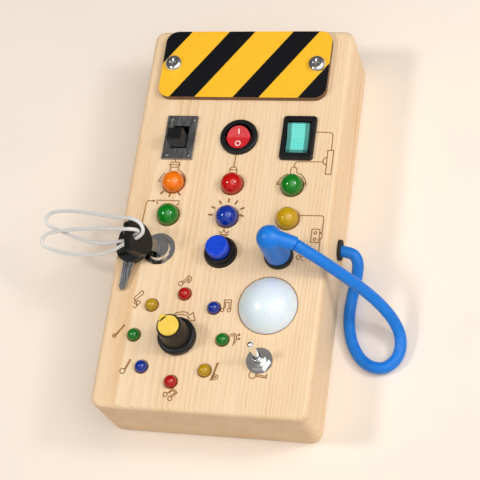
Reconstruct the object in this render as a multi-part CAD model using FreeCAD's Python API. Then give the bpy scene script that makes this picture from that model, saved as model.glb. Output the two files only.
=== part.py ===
import FreeCAD, Part
import math
import os

# Wooden busy board lying on its back, in millimetres.
# +X is right across the board, +Y runs up the board to the striped plate and
# +Z leaves the front face. The origin is the middle of the back face.

Vec = FreeCAD.Vector
UP = Vec(0, 0, 1)

# Board
BOARD_W = 95.0
BOARD_L = 184.0
BOARD_T = 35.0
CORNER_R = 5.0
FRONT_ROUND = 2.5
BACK_ROUND = 1.5
SIDE_WALL = 7.5
FRONT_WALL = 6.0
POST_SIZE = 9.0
PANEL_T = 3.0
PANEL_LEDGE = 3.0
PANEL_GAP = 0.2
FIT = 0.1
RUNNING = 0.05

# Screws
PANEL_SCREW_R = 1.4
PANEL_SCREW_HEAD_R = 2.8
PANEL_SCREW_HEAD_H = 1.5
PANEL_SCREW_L = 12.0
PAN_SCREW_R = 1.6
PAN_SCREW_HEAD_R = 4.0
PAN_SCREW_HEAD_H = 2.4
PAN_SCREW_L = 11.0
DRIVE_REACH = 1.7
DRIVE_W = 0.8
DRIVE_DEPTH = 1.1

# Striped plate
PLATE_SIDE_GAP = 8.15
PLATE_TOP_GAP = 2.35
PLATE_W = BOARD_W - 2 * PLATE_SIDE_GAP
PLATE_H = 34.3
PLATE_T = 3.0
PLATE_R = 5.5
PLATE_X = -1.0
PLATE_Y = BOARD_L / 2 - PLATE_TOP_GAP - PLATE_H / 2
PLATE_SCREW_INSET = 5.6
PLATE_SCREW_DROP = 0.2

# Columns and rows of controls, spread over the board's width and length
COLUMN_PITCH = 0.2863 * BOARD_W
COLUMN_MID_X = 0.9
SWITCH_ROW_Y = 0.1973 * BOARD_L
LAMP_ROW_Y = 0.0717 * BOARD_L
LAMP_ROW_PITCH = 0.0861 * BOARD_L
CONTROL_ROW_Y = -0.1054 * BOARD_L

# Slide switch
SLIDE_X = COLUMN_MID_X - COLUMN_PITCH - 0.3
SLIDE_Y = SWITCH_ROW_Y - 0.8
SLIDE_PLATE_W = 14.2
SLIDE_PLATE_H = 21.7
SLIDE_PLATE_T = 1.4
SLIDE_SLOT_W = 7.6
SLIDE_SLOT_H = 11.3
SLIDE_CASE_W = 11.6
SLIDE_CASE_H = 17.2
SLIDE_CASE_DEPTH = 12.0
SLIDE_CASE_WALL = 1.5
SLIDE_KNOB_W = 6.8
SLIDE_KNOB_H = 6.2
SLIDE_KNOB_RISE = 9.5
SLIDE_KNOB_GAP = 0.3
SLIDE_KNOB_ROUND = 0.5
RIVET_R = 0.9
RIVET_RISE = 0.35
RIVET_INSET = 1.9

# Round rocker switch
ROUND_RING_R = 8.6
ROUND_RING_H = 1.9
ROUND_BORE_R = 6.3
ROUND_BODY_R = 7.3
ROUND_ROCKER_R = 5.3
SWITCH_DEPTH = 13.0
ROCKER_PIVOT_DROP = 1.4
ROCKER_RISE = 2.7
ROCKER_FACE_ANGLE = 9.0
ROCKER_PIN_R = 1.0
ROCKER_SKIRT = 2.4

# Green rocker switch
RECT_BEZEL_W = 15.2
RECT_BEZEL_H = 21.5
RECT_BEZEL_T = 2.0
RECT_BEZEL_R = 1.6
RECT_BODY_W = 13.0
RECT_BODY_H = 19.0
RECT_OPEN_W = 10.7
RECT_OPEN_H = 15.6
RECT_ROCKER_W = 9.9
RECT_ROCKER_H = 14.0

# Lamps
BIG_LAMP_R = 5.0
BIG_LAMP_STEM = 1.0
BIG_FLANGE_R = 5.9
SMALL_LAMP_R = 2.8
SMALL_LAMP_STEM = 0.4
SMALL_FLANGE_R = 3.3
LAMP_FLANGE_T = 1.5
LAMP_LEG = 0.6
LAMP_LEG_SPREAD = 1.27
RING_X = -0.1347 * BOARD_W
RING_Y = -0.3217 * BOARD_L
RING_COUNT = 8
RING_LAMP_INSET = 3.85

# Circuit boards
BOARD_DROP = 6.0
CIRCUIT_T = 1.6
POST_CLEARANCE = 0.8
SWITCH_CLEARANCE = 0.9
LAMP_CIRCUIT_MARGIN_X = 7.5
LAMP_CIRCUIT_MARGIN_Y = 5.5

# Key lock
LOCK_X = COLUMN_MID_X - COLUMN_PITCH - 1.3
LOCK_Y = CONTROL_ROW_Y + 0.1
LOCK_FLANGE_R = 7.4
LOCK_FLANGE_T = 1.1
LOCK_BOSS_R = 5.6
LOCK_BOSS_TOP_R = 4.9
LOCK_BOSS_H = 1.4
LOCK_BODY_R = 5.6
LOCK_DEPTH = 20.0
LOCK_PLUG_R = 3.7
LOCK_TURN = 12.0
LOCK_NUT_R = 8.2
LOCK_NUT_T = 2.4

# Keys
KEY_LEAN = 27.0
KEY_BLADE_W = 5.2
KEY_BLADE_T = 0.9
KEY_BLADE_DEPTH = 13.0
KEY_NECK = 1.0
KEY_SHOULDER = 4.6
KEY_HEAD_W = 15.0
KEY_HEAD_L = 14.5
KEY_HEAD_T = 3.2
KEY_HEAD_R = 3.0
KEY_HOLE_R = 2.3
KEY_HOLE_INSET = 4.4
SPARE_X = LOCK_X - 12.1
SPARE_Y = LOCK_Y - 7.7
SPARE_Z = BOARD_T + 2.6
SPARE_YAW = 7.0
SPARE_PITCH = 6.0
SPARE_ROLL = 12.0
SPARE_BLADE_L = 12.8
SPARE_TIP_W = 3.2

# Push button
PUSH_X = COLUMN_MID_X - 0.6
PUSH_Y = CONTROL_ROW_Y
PUSH_FLANGE_R = 7.5
PUSH_FLANGE_T = 1.8
PUSH_COLLAR_R = 6.2
PUSH_COLLAR_H = 3.6
PUSH_COLLAR_SLOPE = 0.6
PUSH_BODY_R = 5.7
PUSH_BORE_R = 5.3
PUSH_CAP_R = 5.0
PUSH_CAP_H = 8.0
PUSH_CAP_ROUND = 0.8
PUSH_TRAVEL = 2.5
PUSH_DEPTH = 18.0
PUSH_STEM_R = 2.2
PUSH_NUT_R = 7.8
PUSH_NUT_T = 2.4

# Plug and socket
SOCKET_X = COLUMN_MID_X + COLUMN_PITCH - 1.6
SOCKET_Y = CONTROL_ROW_Y - 0.6
SOCKET_RING_R = 6.4
SOCKET_RING_T = 2.2
SOCKET_BODY_R = 4.3
SOCKET_DEPTH = 17.0
SOCKET_BORE_R = 2.0
SOCKET_NUT_R = 6.4
SOCKET_NUT_T = 2.0
PIN_R = 1.75
PIN_L = 15.0
BOOT_R = 5.6
BOOT_H = 25.0
BOOT_GAP = 0.2
BOOT_NECK_R = 3.1
BOOT_ARM_R = 3.9
BOOT_ARM_BACK = 2.0
BOOT_ARM_INSET = 1.0
BOOT_ARM_DROP = 4.4
PIN_SEAT = 4.0

# Cord
CORD_D = 5.2
GROMMET_Y = -7.8
GROMMET_Z = 14.5
GROMMET_W = 7.6
GROMMET_H = 9.4
GROMMET_T = 1.6
GROMMET_BARREL_R = 3.6
GROMMET_BORE_R = 2.7
LOOP_D = 1.6

# Milky dome
DOME_SIDE_GAP = 1.4
DOME_Y = -0.2326 * BOARD_L
DOME_R = 12.75
DOME_RISE = 8.6
DOME_WALL = 1.2
DOME_FLANGE_R = 14.0
DOME_FLANGE_T = 1.5
DOME_CIRCUIT_R = 11.0
DOME_LED_R = 2.5

# Toggle switch
TOGGLE_X = 0.2568 * BOARD_W
TOGGLE_Y = -0.3674 * BOARD_L
TOGGLE_TURN = 28.0
TOGGLE_THROW = 14.0
TOGGLE_BUSH_R = 3.0
TOGGLE_BUSH_H = 3.6
TOGGLE_PIVOT_DROP = 1.6
TOGGLE_BORE_R = 2.1
TOGGLE_BODY_W = 8.0
TOGGLE_BODY_L = 13.0
TOGGLE_BODY_DEPTH = 9.5
TOGGLE_WASHER_R = 5.7
TOGGLE_WASHER_T = 0.8
TOGGLE_NUT_R = 4.5
TOGGLE_NUT_T = 2.0
TOGGLE_BALL_R = 1.9
TOGGLE_LEVER_L = 11.0
TOGGLE_LEVER_R0 = 1.0
TOGGLE_LEVER_R1 = 1.5

# Rotary knob
ROTARY_R = 11.5
ROTARY_DEPTH = 9.0
ROTARY_BUSH_R = 4.5
ROTARY_BUSH_H = 4.0
SHAFT_R = 3.0
KNOB_GAP = 0.4
KNOB_SKIRT_R = 8.35
KNOB_SKIRT_H = 3.2
KNOB_BASE_R = 6.6
KNOB_TOP_R = 5.3
KNOB_H = 14.0
KNOB_CAP_R = 4.5
KNOB_CAP_H = 1.2
KNOB_ROOF = 3.0
KNOB_BASE_ROUND = 1.2
KNOB_CAP_ROUND = 0.4
KNOB_OVERLAP = 0.5
POINTER_W = 1.4
POINTER_DEPTH = 0.5
ROTARY_FLOOR = 1.5
KNOB_REST = 135.0

# Battery compartment
BATTERY_X = 0.0
CELL_R = 5.2
CELL_L = 44.0
CELL_TIP_R = 1.9
CELL_TIP_L = 0.8
CELL_GAP = 0.3
CONTACT_T = 0.5
CONTACT_W = 7.0
CONTACT_INSET = 1.0
CASE_WALL = 1.5
CASE_FLANGE = 3.0
CASE_POST_GAP = 1.5
DOOR_T = 1.8
DOOR_INSET = 0.4
DOOR_GAP = 0.3
DOOR_LIP = 1.2
DOOR_SCREW_R = 1.2
DOOR_SCREW_HEAD_R = 2.2
DOOR_SCREW_HEAD_H = 1.2
DOOR_SCREW_L = 7.0
DOOR_BOSS = 5.0
DOOR_BOSS_GAP = 1.5

# The battery case takes its size from two cells side by side, their contacts and the screw's boss
CASE_RIM = CASE_WALL + DOOR_LIP
CASE_W = 2 * CASE_RIM + CELL_GAP + 2 * CONTACT_T + CELL_L + CELL_TIP_L + DOOR_BOSS_GAP + DOOR_BOSS
CASE_H = 2 * CASE_RIM + 4 * CELL_R + 2 * CELL_GAP + 2 * FIT
CASE_DEPTH = DOOR_INSET + DOOR_T + CELL_GAP + 2 * CELL_R + 2 * CELL_GAP + CASE_WALL

# Rounds and tapers, as shares of the thickness or radius that they are cut from
HEAD_ROUND = 0.7
RING_ROUND = 0.45
BEZEL_ROUND = 0.4
PIN_ROUND = 0.6
LED_ROUND = 0.8
RIVET_TAPER = 0.6
KEY_HEAD_SHOULDER = 0.42

# A bend in a cord takes this share of the shorter run beside it
BEND_SHARE = 0.45

# A cord's room to itself is measured in steps of its diameter, beyond a few diameters
GAP_STEPS = 4
GAP_REACH = 4

FACE = BOARD_T
INNER = BOARD_T - FRONT_WALL
POCKET_X = BOARD_W / 2 - SIDE_WALL
POCKET_Y = BOARD_L / 2 - SIDE_WALL
PIVOT_Z = FACE - ROCKER_PIVOT_DROP
CIRCUIT_TOP = INNER - BOARD_DROP
BATTERY_Y = POCKET_Y - POST_SIZE - CASE_POST_GAP - CASE_FLANGE - CASE_H / 2
DOME_X = POCKET_X - DOME_FLANGE_R - DOME_SIDE_GAP
POST_X = POCKET_X - POST_SIZE
POST_Y = POCKET_Y - POST_SIZE
RING_CIRCUIT_OUT_R = math.hypot(POST_X + RING_X, POST_Y + RING_Y) - POST_CLEARANCE
RING_CIRCUIT_IN_R = ROTARY_R + SWITCH_CLEARANCE
RING_R = RING_CIRCUIT_OUT_R - RING_LAMP_INSET
COLUMNS = [COLUMN_MID_X + i * COLUMN_PITCH for i in (-1, 0, 1)]
LAMP_ROWS = [LAMP_ROW_Y, LAMP_ROW_Y - LAMP_ROW_PITCH]
ROUND_X = COLUMN_MID_X
RECT_X = COLUMN_MID_X + COLUMN_PITCH
RING_LAMPS = [
    (RING_X + RING_R * math.cos(math.radians(90 - i * 360 / RING_COUNT)),
     RING_Y + RING_R * math.sin(math.radians(90 - i * 360 / RING_COUNT)))
    for i in range(RING_COUNT)]

# Route of the blue cord: from inside the side wall round to the board's corner of
# the front face, measured from the outside of that wall, and the rest from the socket
CORD_FROM_WALL = [
    (-9.5, -7.8, 14.5), (5.4, -7.8, 14.5), (9.1, -11.5, 12.4), (8.5, -17.6, 8.6),
    (6.7, -24.4, 4.7), (5.7, -32.2, 2.9), (6.4, -40.2, 2.6), (8.7, -47.5, 2.7),
    (12.5, -53.4, 2.6), (17.7, -57.0, 2.7), (23.5, -57.3, 2.6), (28.1, -53.8, 2.7),
    (30.1, -48.2, 3.0), (29.6, -42.2, 5.0), (26.7, -37.2, 9.6), (21.6, -32.9, 16.4),
    (14.5, -29.4, 25.6)]
CORD_TO_PLUG = [
    (27.2, -6.9, 1.2), (18.9, -4.3, 11.0), (10.4, -1.4, 17.4)]
CORD_POINTS = [(BOARD_W / 2 + x, y, z) for x, y, z in CORD_FROM_WALL] + [
    (SOCKET_X + x, SOCKET_Y + y, FACE + z) for x, y, z in CORD_TO_PLUG]

# Route of the white cord, measured from the lock: two turns through the key in the
# lock, the first one also through the spare key, with both ends meeting in the hole
LOOP_FROM_LOCK = [
    (-6.3, -2.5, 16.6), (-1.2, -1.4, 19.3), (-1.3, 2.1, 23.0), (-5.8, 4.4, 23.6),
    (-11.8, 5.7, 20.6), (-20.4, 8.6, 15.4), (-29.8, 12.0, 10.0), (-38.9, 14.8, 5.0),
    (-46.4, 16.9, 0.6), (-52.6, 18.1, -2.8), (-57.3, 18.3, -5.6), (-59.8, 16.3, -7.2),
    (-59.2, 13.6, -8.4), (-54.9, 11.7, -7.8), (-48.3, 8.5, -5.2), (-39.2, 4.2, -0.8),
    (-29.4, 0.6, 3.8), (-21.3, -1.0, 7.4), (-15.6, -0.3, 8.8), (-11.8, 1.3, 6.4),
    (-10.5, 2.6, 1.7), (-9.8, 6.9, 0.9), (-10.4, 10.1, 3.8), (-12.2, 7.7, 9.2),
    (-12.7, 1.9, 13.4), (-9.0, -0.9, 15.4), (-3.8, 0.3, 18.3), (-3.7, -0.2, 22.0),
    (-6.4, -0.6, 23.6), (-12.0, 0.4, 20.6), (-19.4, 2.7, 15.4), (-28.6, 4.8, 9.8),
    (-37.4, 6.5, 4.6), (-45.3, 7.6, 0.4), (-52.0, 8.2, -3.4), (-57.2, 8.2, -6.2),
    (-60.4, 6.4, -8.4), (-59.8, 3.7, -9.6), (-55.8, 2.1, -9.2), (-50.2, 0.0, -7.2),
    (-41.9, -2.5, -3.3), (-32.4, -4.6, 1.4), (-23.6, -5.5, 5.8), (-16.8, -4.9, 9.8),
    (-11.8, -3.7, 13.8), (-6.8, -2.6, 16.3)]
LOOP_POINTS = [(LOCK_X + x, LOCK_Y + y, FACE + z) for x, y, z in LOOP_FROM_LOCK]


def at(x, y, z, angle=0.0):
    return FreeCAD.Placement(Vec(x, y, z), FreeCAD.Rotation(UP, angle))


def box(x0, x1, y0, y1, z0, z1):
    return Part.makeBox(x1 - x0, y1 - y0, z1 - z0, Vec(x0, y0, z0))


def block(x, y, w, h, z0, z1):
    return box(x - w / 2, x + w / 2, y - h / 2, y + h / 2, z0, z1)


def rod(x, y, z0, z1, r):
    return Part.makeCylinder(r, z1 - z0, Vec(x, y, z0))


def cone(x, y, z0, z1, r0, r1):
    return Part.makeCone(r0, r1, z1 - z0, Vec(x, y, z0))


def hexagon(x, y, z0, z1, corner_r):
    points = [Vec(x + corner_r * math.cos(math.radians(60 * i)),
                  y + corner_r * math.sin(math.radians(60 * i)), z0) for i in range(6)]
    return polygon_solid(points, Vec(0, 0, z1 - z0))


def nut(x, y, z0, z1, corner_r, bore_r):
    return hexagon(x, y, z0, z1, corner_r).cut(rod(x, y, z0 - 1, z1 + 1, bore_r))


def cross(x, y, z0, z1):
    """The drive recess of a screw: two slots at right angles."""
    slot = block(x, y, 2 * DRIVE_REACH, DRIVE_W, z0, z1)
    return slot.fuse(block(x, y, DRIVE_W, 2 * DRIVE_REACH, z0, z1))


def rounded(x, y, w, h, r, z0, z1):
    body = block(x, y, w, h, z0, z1)
    return body.makeFillet(r, [e for e in body.Edges if is_upright(e)])


def is_upright(edge):
    a, b = edge.Vertexes[0].Point, edge.Vertexes[-1].Point
    return abs(a.x - b.x) < 1e-6 and abs(a.y - b.y) < 1e-6 and abs(a.z - b.z) > 1e-6


def edges_at(shape, z):
    return [e for e in shape.Edges if all(abs(v.Point.z - z) < 1e-6 for v in e.Vertexes)]


def polygon_solid(points, direction):
    return Part.Face(Part.makePolygon(points + [points[0]])).extrude(direction)


def save(name, shape):
    shape = shape.removeSplitter()
    solids = shape.Solids
    if not shape.isValid() or not solids:
        raise RuntimeError(name + " is not a valid solid")
    result = solids[0] if len(solids) == 1 else Part.makeCompound(solids)
    result.exportStep("parts/" + name + ".step")
    print(name, len(solids), round(result.Volume, 2))


def tube_path(points):
    """Straight runs joined by tangent arcs, each as large as its two runs allow."""
    points = [Vec(*p) for p in points]
    edges = []
    radii = []
    start = points[0]
    for i in range(1, len(points) - 1):
        back = points[i - 1] - points[i]
        ahead = points[i + 1] - points[i]
        reach = BEND_SHARE * min(back.Length, ahead.Length)
        back.normalize()
        ahead.normalize()
        half = (math.pi - back.getAngle(ahead)) / 2
        radius = reach / math.tan(half)
        middle = back + ahead
        middle.normalize()
        centre_gap = radius / math.cos(half)
        arc_start = points[i] + back * reach
        arc_end = points[i] + ahead * reach
        arc_mid = points[i] + middle * (centre_gap - radius)
        edges.append(Part.LineSegment(start, arc_start).toShape())
        edges.append(Part.Arc(arc_start, arc_mid, arc_end).toShape())
        radii.append(round(radius, 1))
        start = arc_end
    edges.append(Part.LineSegment(start, points[-1]).toShape())
    return Part.Wire(edges), radii


def tube(name, points, diameter):
    path, radii = tube_path(points)
    direction = Vec(*points[1]) - Vec(*points[0])
    circle = Part.Wire(Part.makeCircle(diameter / 2, Vec(*points[0]), direction))
    shape = path.makePipeShell([circle], True, False)
    ideal = math.pi * diameter ** 2 / 4 * path.Length
    print(name, "length", round(path.Length, 1), "volume ratio", round(shape.Volume / ideal, 4))
    print(name, "radii", radii)
    print(name, "least gap to itself", round(least_gap(path, diameter), 2))
    return shape


def least_gap(path, diameter):
    """The room between stretches of a cord that are far apart along it, also round a closed loop."""
    steps = int(path.Length / (diameter / GAP_STEPS))
    points = path.discretize(steps)
    far = GAP_STEPS * GAP_REACH
    return min(points[i].distanceToPoint(points[j])
               for i in range(steps) for j in range(i + far, min(steps, i + steps - far))) - diameter


# The pine block and the panel behind it

def make_wood_body():
    body = rounded(0, 0, BOARD_W, BOARD_L, CORNER_R, 0, FACE)
    body = body.makeFillet(FRONT_ROUND, edges_at(body, FACE))
    body = body.makeFillet(BACK_ROUND, edges_at(body, 0))
    pocket = block(0, 0, 2 * POCKET_X, 2 * POCKET_Y, -1, INNER)
    for sx in (-1, 1):
        for sy in (-1, 1):
            post_x = sx * (POCKET_X - POST_SIZE / 2)
            post_y = sy * (POCKET_Y - POST_SIZE / 2)
            pocket = pocket.cut(block(post_x, post_y, POST_SIZE, POST_SIZE, PANEL_T, INNER))
    rebate = block(0, 0, 2 * (POCKET_X + PANEL_LEDGE), 2 * (POCKET_Y + PANEL_LEDGE), -1, PANEL_T)
    tools = [pocket, rebate]
    for x, y in panel_screw_places():
        tools.append(rod(x, y, 0, PANEL_SCREW_L + RUNNING, PANEL_SCREW_R + RUNNING))
    for x in plate_screw_places():
        bottom = FACE + PLATE_T - PAN_SCREW_L - RUNNING
        tools.append(rod(x, PLATE_Y - PLATE_SCREW_DROP, bottom, FACE + 1, PAN_SCREW_R + RUNNING))
    low, high = INNER - 1, FACE + 1
    tools.append(block(SLIDE_X, SLIDE_Y, SLIDE_CASE_W + 2 * FIT, SLIDE_CASE_H + 2 * FIT, low, high))
    tools.append(rod(ROUND_X, SWITCH_ROW_Y, low, high, ROUND_BODY_R + FIT))
    tools.append(block(RECT_X, SWITCH_ROW_Y, RECT_BODY_W + 2 * FIT, RECT_BODY_H + 2 * FIT, low, high))
    for x in COLUMNS:
        for y in LAMP_ROWS:
            tools.append(rod(x, y, low, high, BIG_LAMP_R + FIT))
    for x, y in RING_LAMPS:
        tools.append(rod(x, y, low, high, SMALL_LAMP_R + FIT))
    tools.append(rod(LOCK_X, LOCK_Y, low, high, LOCK_BODY_R + FIT))
    tools.append(rod(PUSH_X, PUSH_Y, low, high, PUSH_BODY_R + FIT))
    tools.append(rod(SOCKET_X, SOCKET_Y, low, high, SOCKET_BODY_R + FIT))
    tools.append(rod(DOME_X, DOME_Y, low, high, DOME_R + FIT))
    tools.append(rod(TOGGLE_X, TOGGLE_Y, low, high, TOGGLE_BUSH_R + FIT))
    tools.append(rod(RING_X, RING_Y, low, high, ROTARY_BUSH_R + FIT))
    side_hole = Part.makeCylinder(GROMMET_BARREL_R + FIT, SIDE_WALL + 2,
                                  Vec(POCKET_X - 1, GROMMET_Y, GROMMET_Z), Vec(1, 0, 0))
    tools.append(side_hole)
    save("wood_body", body.cut(tools))


def panel_screw_places():
    x = POCKET_X - POST_SIZE / 2
    y = POCKET_Y - POST_SIZE / 2
    return [(-x, -y), (x, -y), (x, y), (-x, y)]


def plate_screw_places():
    reach = PLATE_W / 2 - PLATE_SCREW_INSET
    return [PLATE_X - reach, PLATE_X + reach]


def make_back_panel():
    w = 2 * (POCKET_X + PANEL_LEDGE - PANEL_GAP)
    h = 2 * (POCKET_Y + PANEL_LEDGE - PANEL_GAP)
    panel = block(0, 0, w, h, 0, PANEL_T)
    tools = [block(BATTERY_X, BATTERY_Y, CASE_W + 2 * FIT, CASE_H + 2 * FIT, -1, PANEL_T + 1)]
    screws = []
    for x, y in panel_screw_places():
        tools.append(rod(x, y, -1, PANEL_T + 1, PANEL_SCREW_R + RUNNING))
        head_room = cone(x, y, 0, PANEL_SCREW_HEAD_H, PANEL_SCREW_HEAD_R + RUNNING, PANEL_SCREW_R + RUNNING)
        tools.append(head_room)
        head = cone(x, y, 0, PANEL_SCREW_HEAD_H, PANEL_SCREW_HEAD_R, PANEL_SCREW_R)
        screw = head.fuse(rod(x, y, PANEL_SCREW_HEAD_H, PANEL_SCREW_L, PANEL_SCREW_R))
        screws.append(screw.cut(cross(x, y, -1, DRIVE_DEPTH)))
    save("back_panel", panel.cut(tools))
    save("panel_screws", Part.makeCompound(screws))


# The striped plate and its two screws

def make_plate():
    y = PLATE_Y - PLATE_SCREW_DROP
    plate = rounded(PLATE_X, PLATE_Y, PLATE_W, PLATE_H, PLATE_R, FACE, FACE + PLATE_T)
    holes = [rod(x, y, FACE - 1, FACE + PLATE_T + 1, PAN_SCREW_R + RUNNING) for x in plate_screw_places()]
    save("striped_plate", plate.cut(holes))
    for number, x in enumerate(plate_screw_places(), 1):
        top = FACE + PLATE_T
        head = rod(x, y, top, top + PAN_SCREW_HEAD_H, PAN_SCREW_HEAD_R)
        head = head.makeFillet(PAN_SCREW_HEAD_H * HEAD_ROUND, edges_at(head, top + PAN_SCREW_HEAD_H))
        screw = head.fuse(rod(x, y, top - PAN_SCREW_L, top, PAN_SCREW_R))
        drive = cross(x, y, top + PAN_SCREW_HEAD_H - DRIVE_DEPTH, top + PAN_SCREW_HEAD_H + 1)
        save("plate_screw_%d" % number, screw.cut(drive))


# Slide switch: metal plate, case behind it and the block that slides

def make_slide_switch():
    top = FACE + SLIDE_PLATE_T
    plate = block(SLIDE_X, SLIDE_Y, SLIDE_PLATE_W, SLIDE_PLATE_H, FACE, top)
    for sx in (-1, 1):
        for sy in (-1, 1):
            x = SLIDE_X + sx * (SLIDE_PLATE_W / 2 - RIVET_INSET)
            y = SLIDE_Y + sy * (SLIDE_PLATE_H / 2 - RIVET_INSET)
            plate = plate.fuse(cone(x, y, top, top + RIVET_RISE, RIVET_R, RIVET_R * RIVET_TAPER))
    slot = block(SLIDE_X, SLIDE_Y, SLIDE_SLOT_W, SLIDE_SLOT_H, FACE - 1, top + 1)
    save("slide_plate", plate.cut(slot))
    bottom = FACE - SLIDE_CASE_DEPTH
    case = block(SLIDE_X, SLIDE_Y, SLIDE_CASE_W, SLIDE_CASE_H, bottom, FACE)
    cavity = block(SLIDE_X, SLIDE_Y, SLIDE_SLOT_W, SLIDE_SLOT_H, bottom + SLIDE_CASE_WALL, FACE + 1)
    save("slide_case", case.cut(cavity))
    knob_y = SLIDE_Y - SLIDE_SLOT_H / 2 + SLIDE_KNOB_GAP + SLIDE_KNOB_H / 2
    foot = bottom + SLIDE_CASE_WALL + SLIDE_KNOB_GAP
    knob = block(SLIDE_X, knob_y, SLIDE_KNOB_W, SLIDE_KNOB_H, foot, FACE + SLIDE_KNOB_RISE)
    knob = knob.makeFillet(SLIDE_KNOB_ROUND, edges_at(knob, FACE + SLIDE_KNOB_RISE))
    save("slide_knob", knob)
    print("slide travel", SLIDE_SLOT_H - SLIDE_KNOB_H - 2 * SLIDE_KNOB_GAP)


# Rocker switches: the profile is a shallow valley that tips about the pivot

def rocker_profile(x, y, width, length):
    rise = math.tan(math.radians(ROCKER_FACE_ANGLE)) * length / 2
    points = [Vec(x - width / 2, y - length / 2, PIVOT_Z - ROCKER_SKIRT),
              Vec(x - width / 2, y + length / 2, PIVOT_Z - ROCKER_SKIRT),
              Vec(x - width / 2, y + length / 2, PIVOT_Z + ROCKER_RISE + rise),
              Vec(x - width / 2, y, PIVOT_Z + ROCKER_RISE),
              Vec(x - width / 2, y - length / 2, PIVOT_Z + ROCKER_RISE + rise)]
    return polygon_solid(points, Vec(width, 0, 0))


def tipped(shape, x, y):
    turned = shape.copy()
    turned.rotate(Vec(x, y, PIVOT_Z), Vec(1, 0, 0), ROCKER_FACE_ANGLE)
    return turned


def pivot_pin(x, y, half, radius):
    return Part.makeCylinder(radius, 2 * half, Vec(x - half, y, PIVOT_Z), Vec(1, 0, 0))


def make_round_rocker():
    x, y = ROUND_X, SWITCH_ROW_Y
    ring = rod(x, y, FACE, FACE + ROUND_RING_H, ROUND_RING_R)
    ring = ring.makeFillet(ROUND_RING_H * RING_ROUND, edges_at(ring, FACE + ROUND_RING_H))
    case = ring.fuse(rod(x, y, FACE - SWITCH_DEPTH, FACE, ROUND_BODY_R))
    case = case.cut(rod(x, y, FACE - SWITCH_DEPTH + SLIDE_CASE_WALL, FACE + ROUND_RING_H + 1, ROUND_BORE_R))
    pin_half = (ROUND_BORE_R + ROUND_BODY_R) / 2
    case = case.cut(pivot_pin(x, y, pin_half + RUNNING, ROCKER_PIN_R + RUNNING))
    save("round_rocker_case", case)
    rocker = rocker_profile(x, y, 2 * ROUND_ROCKER_R, 2 * ROUND_ROCKER_R)
    rocker = rocker.common(rod(x, y, FACE - SWITCH_DEPTH, FACE + SWITCH_DEPTH, ROUND_ROCKER_R))
    save("round_rocker", tipped(rocker, x, y).fuse(pivot_pin(x, y, pin_half, ROCKER_PIN_R)))


def make_rect_rocker():
    x, y = RECT_X, SWITCH_ROW_Y
    bezel = rounded(x, y, RECT_BEZEL_W, RECT_BEZEL_H, RECT_BEZEL_R, FACE, FACE + RECT_BEZEL_T)
    bezel = bezel.makeFillet(RECT_BEZEL_T * BEZEL_ROUND, edges_at(bezel, FACE + RECT_BEZEL_T))
    case = bezel.fuse(block(x, y, RECT_BODY_W, RECT_BODY_H, FACE - SWITCH_DEPTH, FACE))
    floor = FACE - SWITCH_DEPTH + SLIDE_CASE_WALL
    case = case.cut(block(x, y, RECT_OPEN_W, RECT_OPEN_H, floor, FACE + RECT_BEZEL_T + 1))
    pin_half = (RECT_OPEN_W + RECT_BODY_W) / 4
    case = case.cut(pivot_pin(x, y, pin_half + RUNNING, ROCKER_PIN_R + RUNNING))
    save("green_rocker_case", case)
    rocker = rocker_profile(x, y, RECT_ROCKER_W, RECT_ROCKER_H)
    save("green_rocker", tipped(rocker, x, y).fuse(pivot_pin(x, y, pin_half, ROCKER_PIN_R)))


# Lamps, pressed into the front wall from behind

def lamp(x, y, radius, stem, flange_r):
    body = rod(x, y, INNER - LAMP_FLANGE_T, INNER, flange_r)
    body = body.fuse(rod(x, y, INNER, FACE + stem, radius))
    dome = Part.makeSphere(radius, Vec(x, y, FACE + stem))
    body = body.fuse(dome.common(rod(x, y, FACE + stem, FACE + stem + radius, radius)))
    for side in (-1, 1):
        leg_x = x + side * LAMP_LEG_SPREAD
        body = body.fuse(block(leg_x, y, LAMP_LEG, LAMP_LEG, CIRCUIT_TOP, INNER - LAMP_FLANGE_T))
    return body


def make_lamps():
    names = [["orange", "red", "green_upper"], ["green_lower", "blue", "yellow"]]
    for row, y in enumerate(LAMP_ROWS):
        for column, x in enumerate(COLUMNS):
            body = lamp(x, y, BIG_LAMP_R, BIG_LAMP_STEM, BIG_FLANGE_R)
            save("lamp_" + names[row][column], body)
    for number, (x, y) in enumerate(RING_LAMPS, 1):
        save("ring_lamp_%d" % number, lamp(x, y, SMALL_LAMP_R, SMALL_LAMP_STEM, SMALL_FLANGE_R))


def make_circuits():
    bottom = CIRCUIT_TOP - CIRCUIT_T
    ring = rod(RING_X, RING_Y, bottom, CIRCUIT_TOP, RING_CIRCUIT_OUT_R)
    ring = ring.cut(rod(RING_X, RING_Y, bottom - 1, CIRCUIT_TOP + 1, RING_CIRCUIT_IN_R))
    save("ring_circuit", ring)
    w = 2 * COLUMN_PITCH + 2 * LAMP_CIRCUIT_MARGIN_X
    h = LAMP_ROW_PITCH + 2 * LAMP_CIRCUIT_MARGIN_Y
    middle_y = sum(LAMP_ROWS) / 2
    save("lamp_circuit", block(COLUMN_MID_X, middle_y, w, h, bottom, CIRCUIT_TOP))


# Key lock: barrel with flange, nut, and the plug that turns with the key

def lock_top():
    return FACE + LOCK_FLANGE_T + LOCK_BOSS_H


def keyway(extra):
    width = KEY_BLADE_W + 2 * extra
    depth = KEY_BLADE_DEPTH + extra
    top = lock_top()
    slot = block(0, 0, KEY_BLADE_T + 2 * extra, width, top - depth, top + (1 if extra else 0))
    slot.Placement = at(LOCK_X, LOCK_Y, 0, LOCK_TURN)
    return slot


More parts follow.
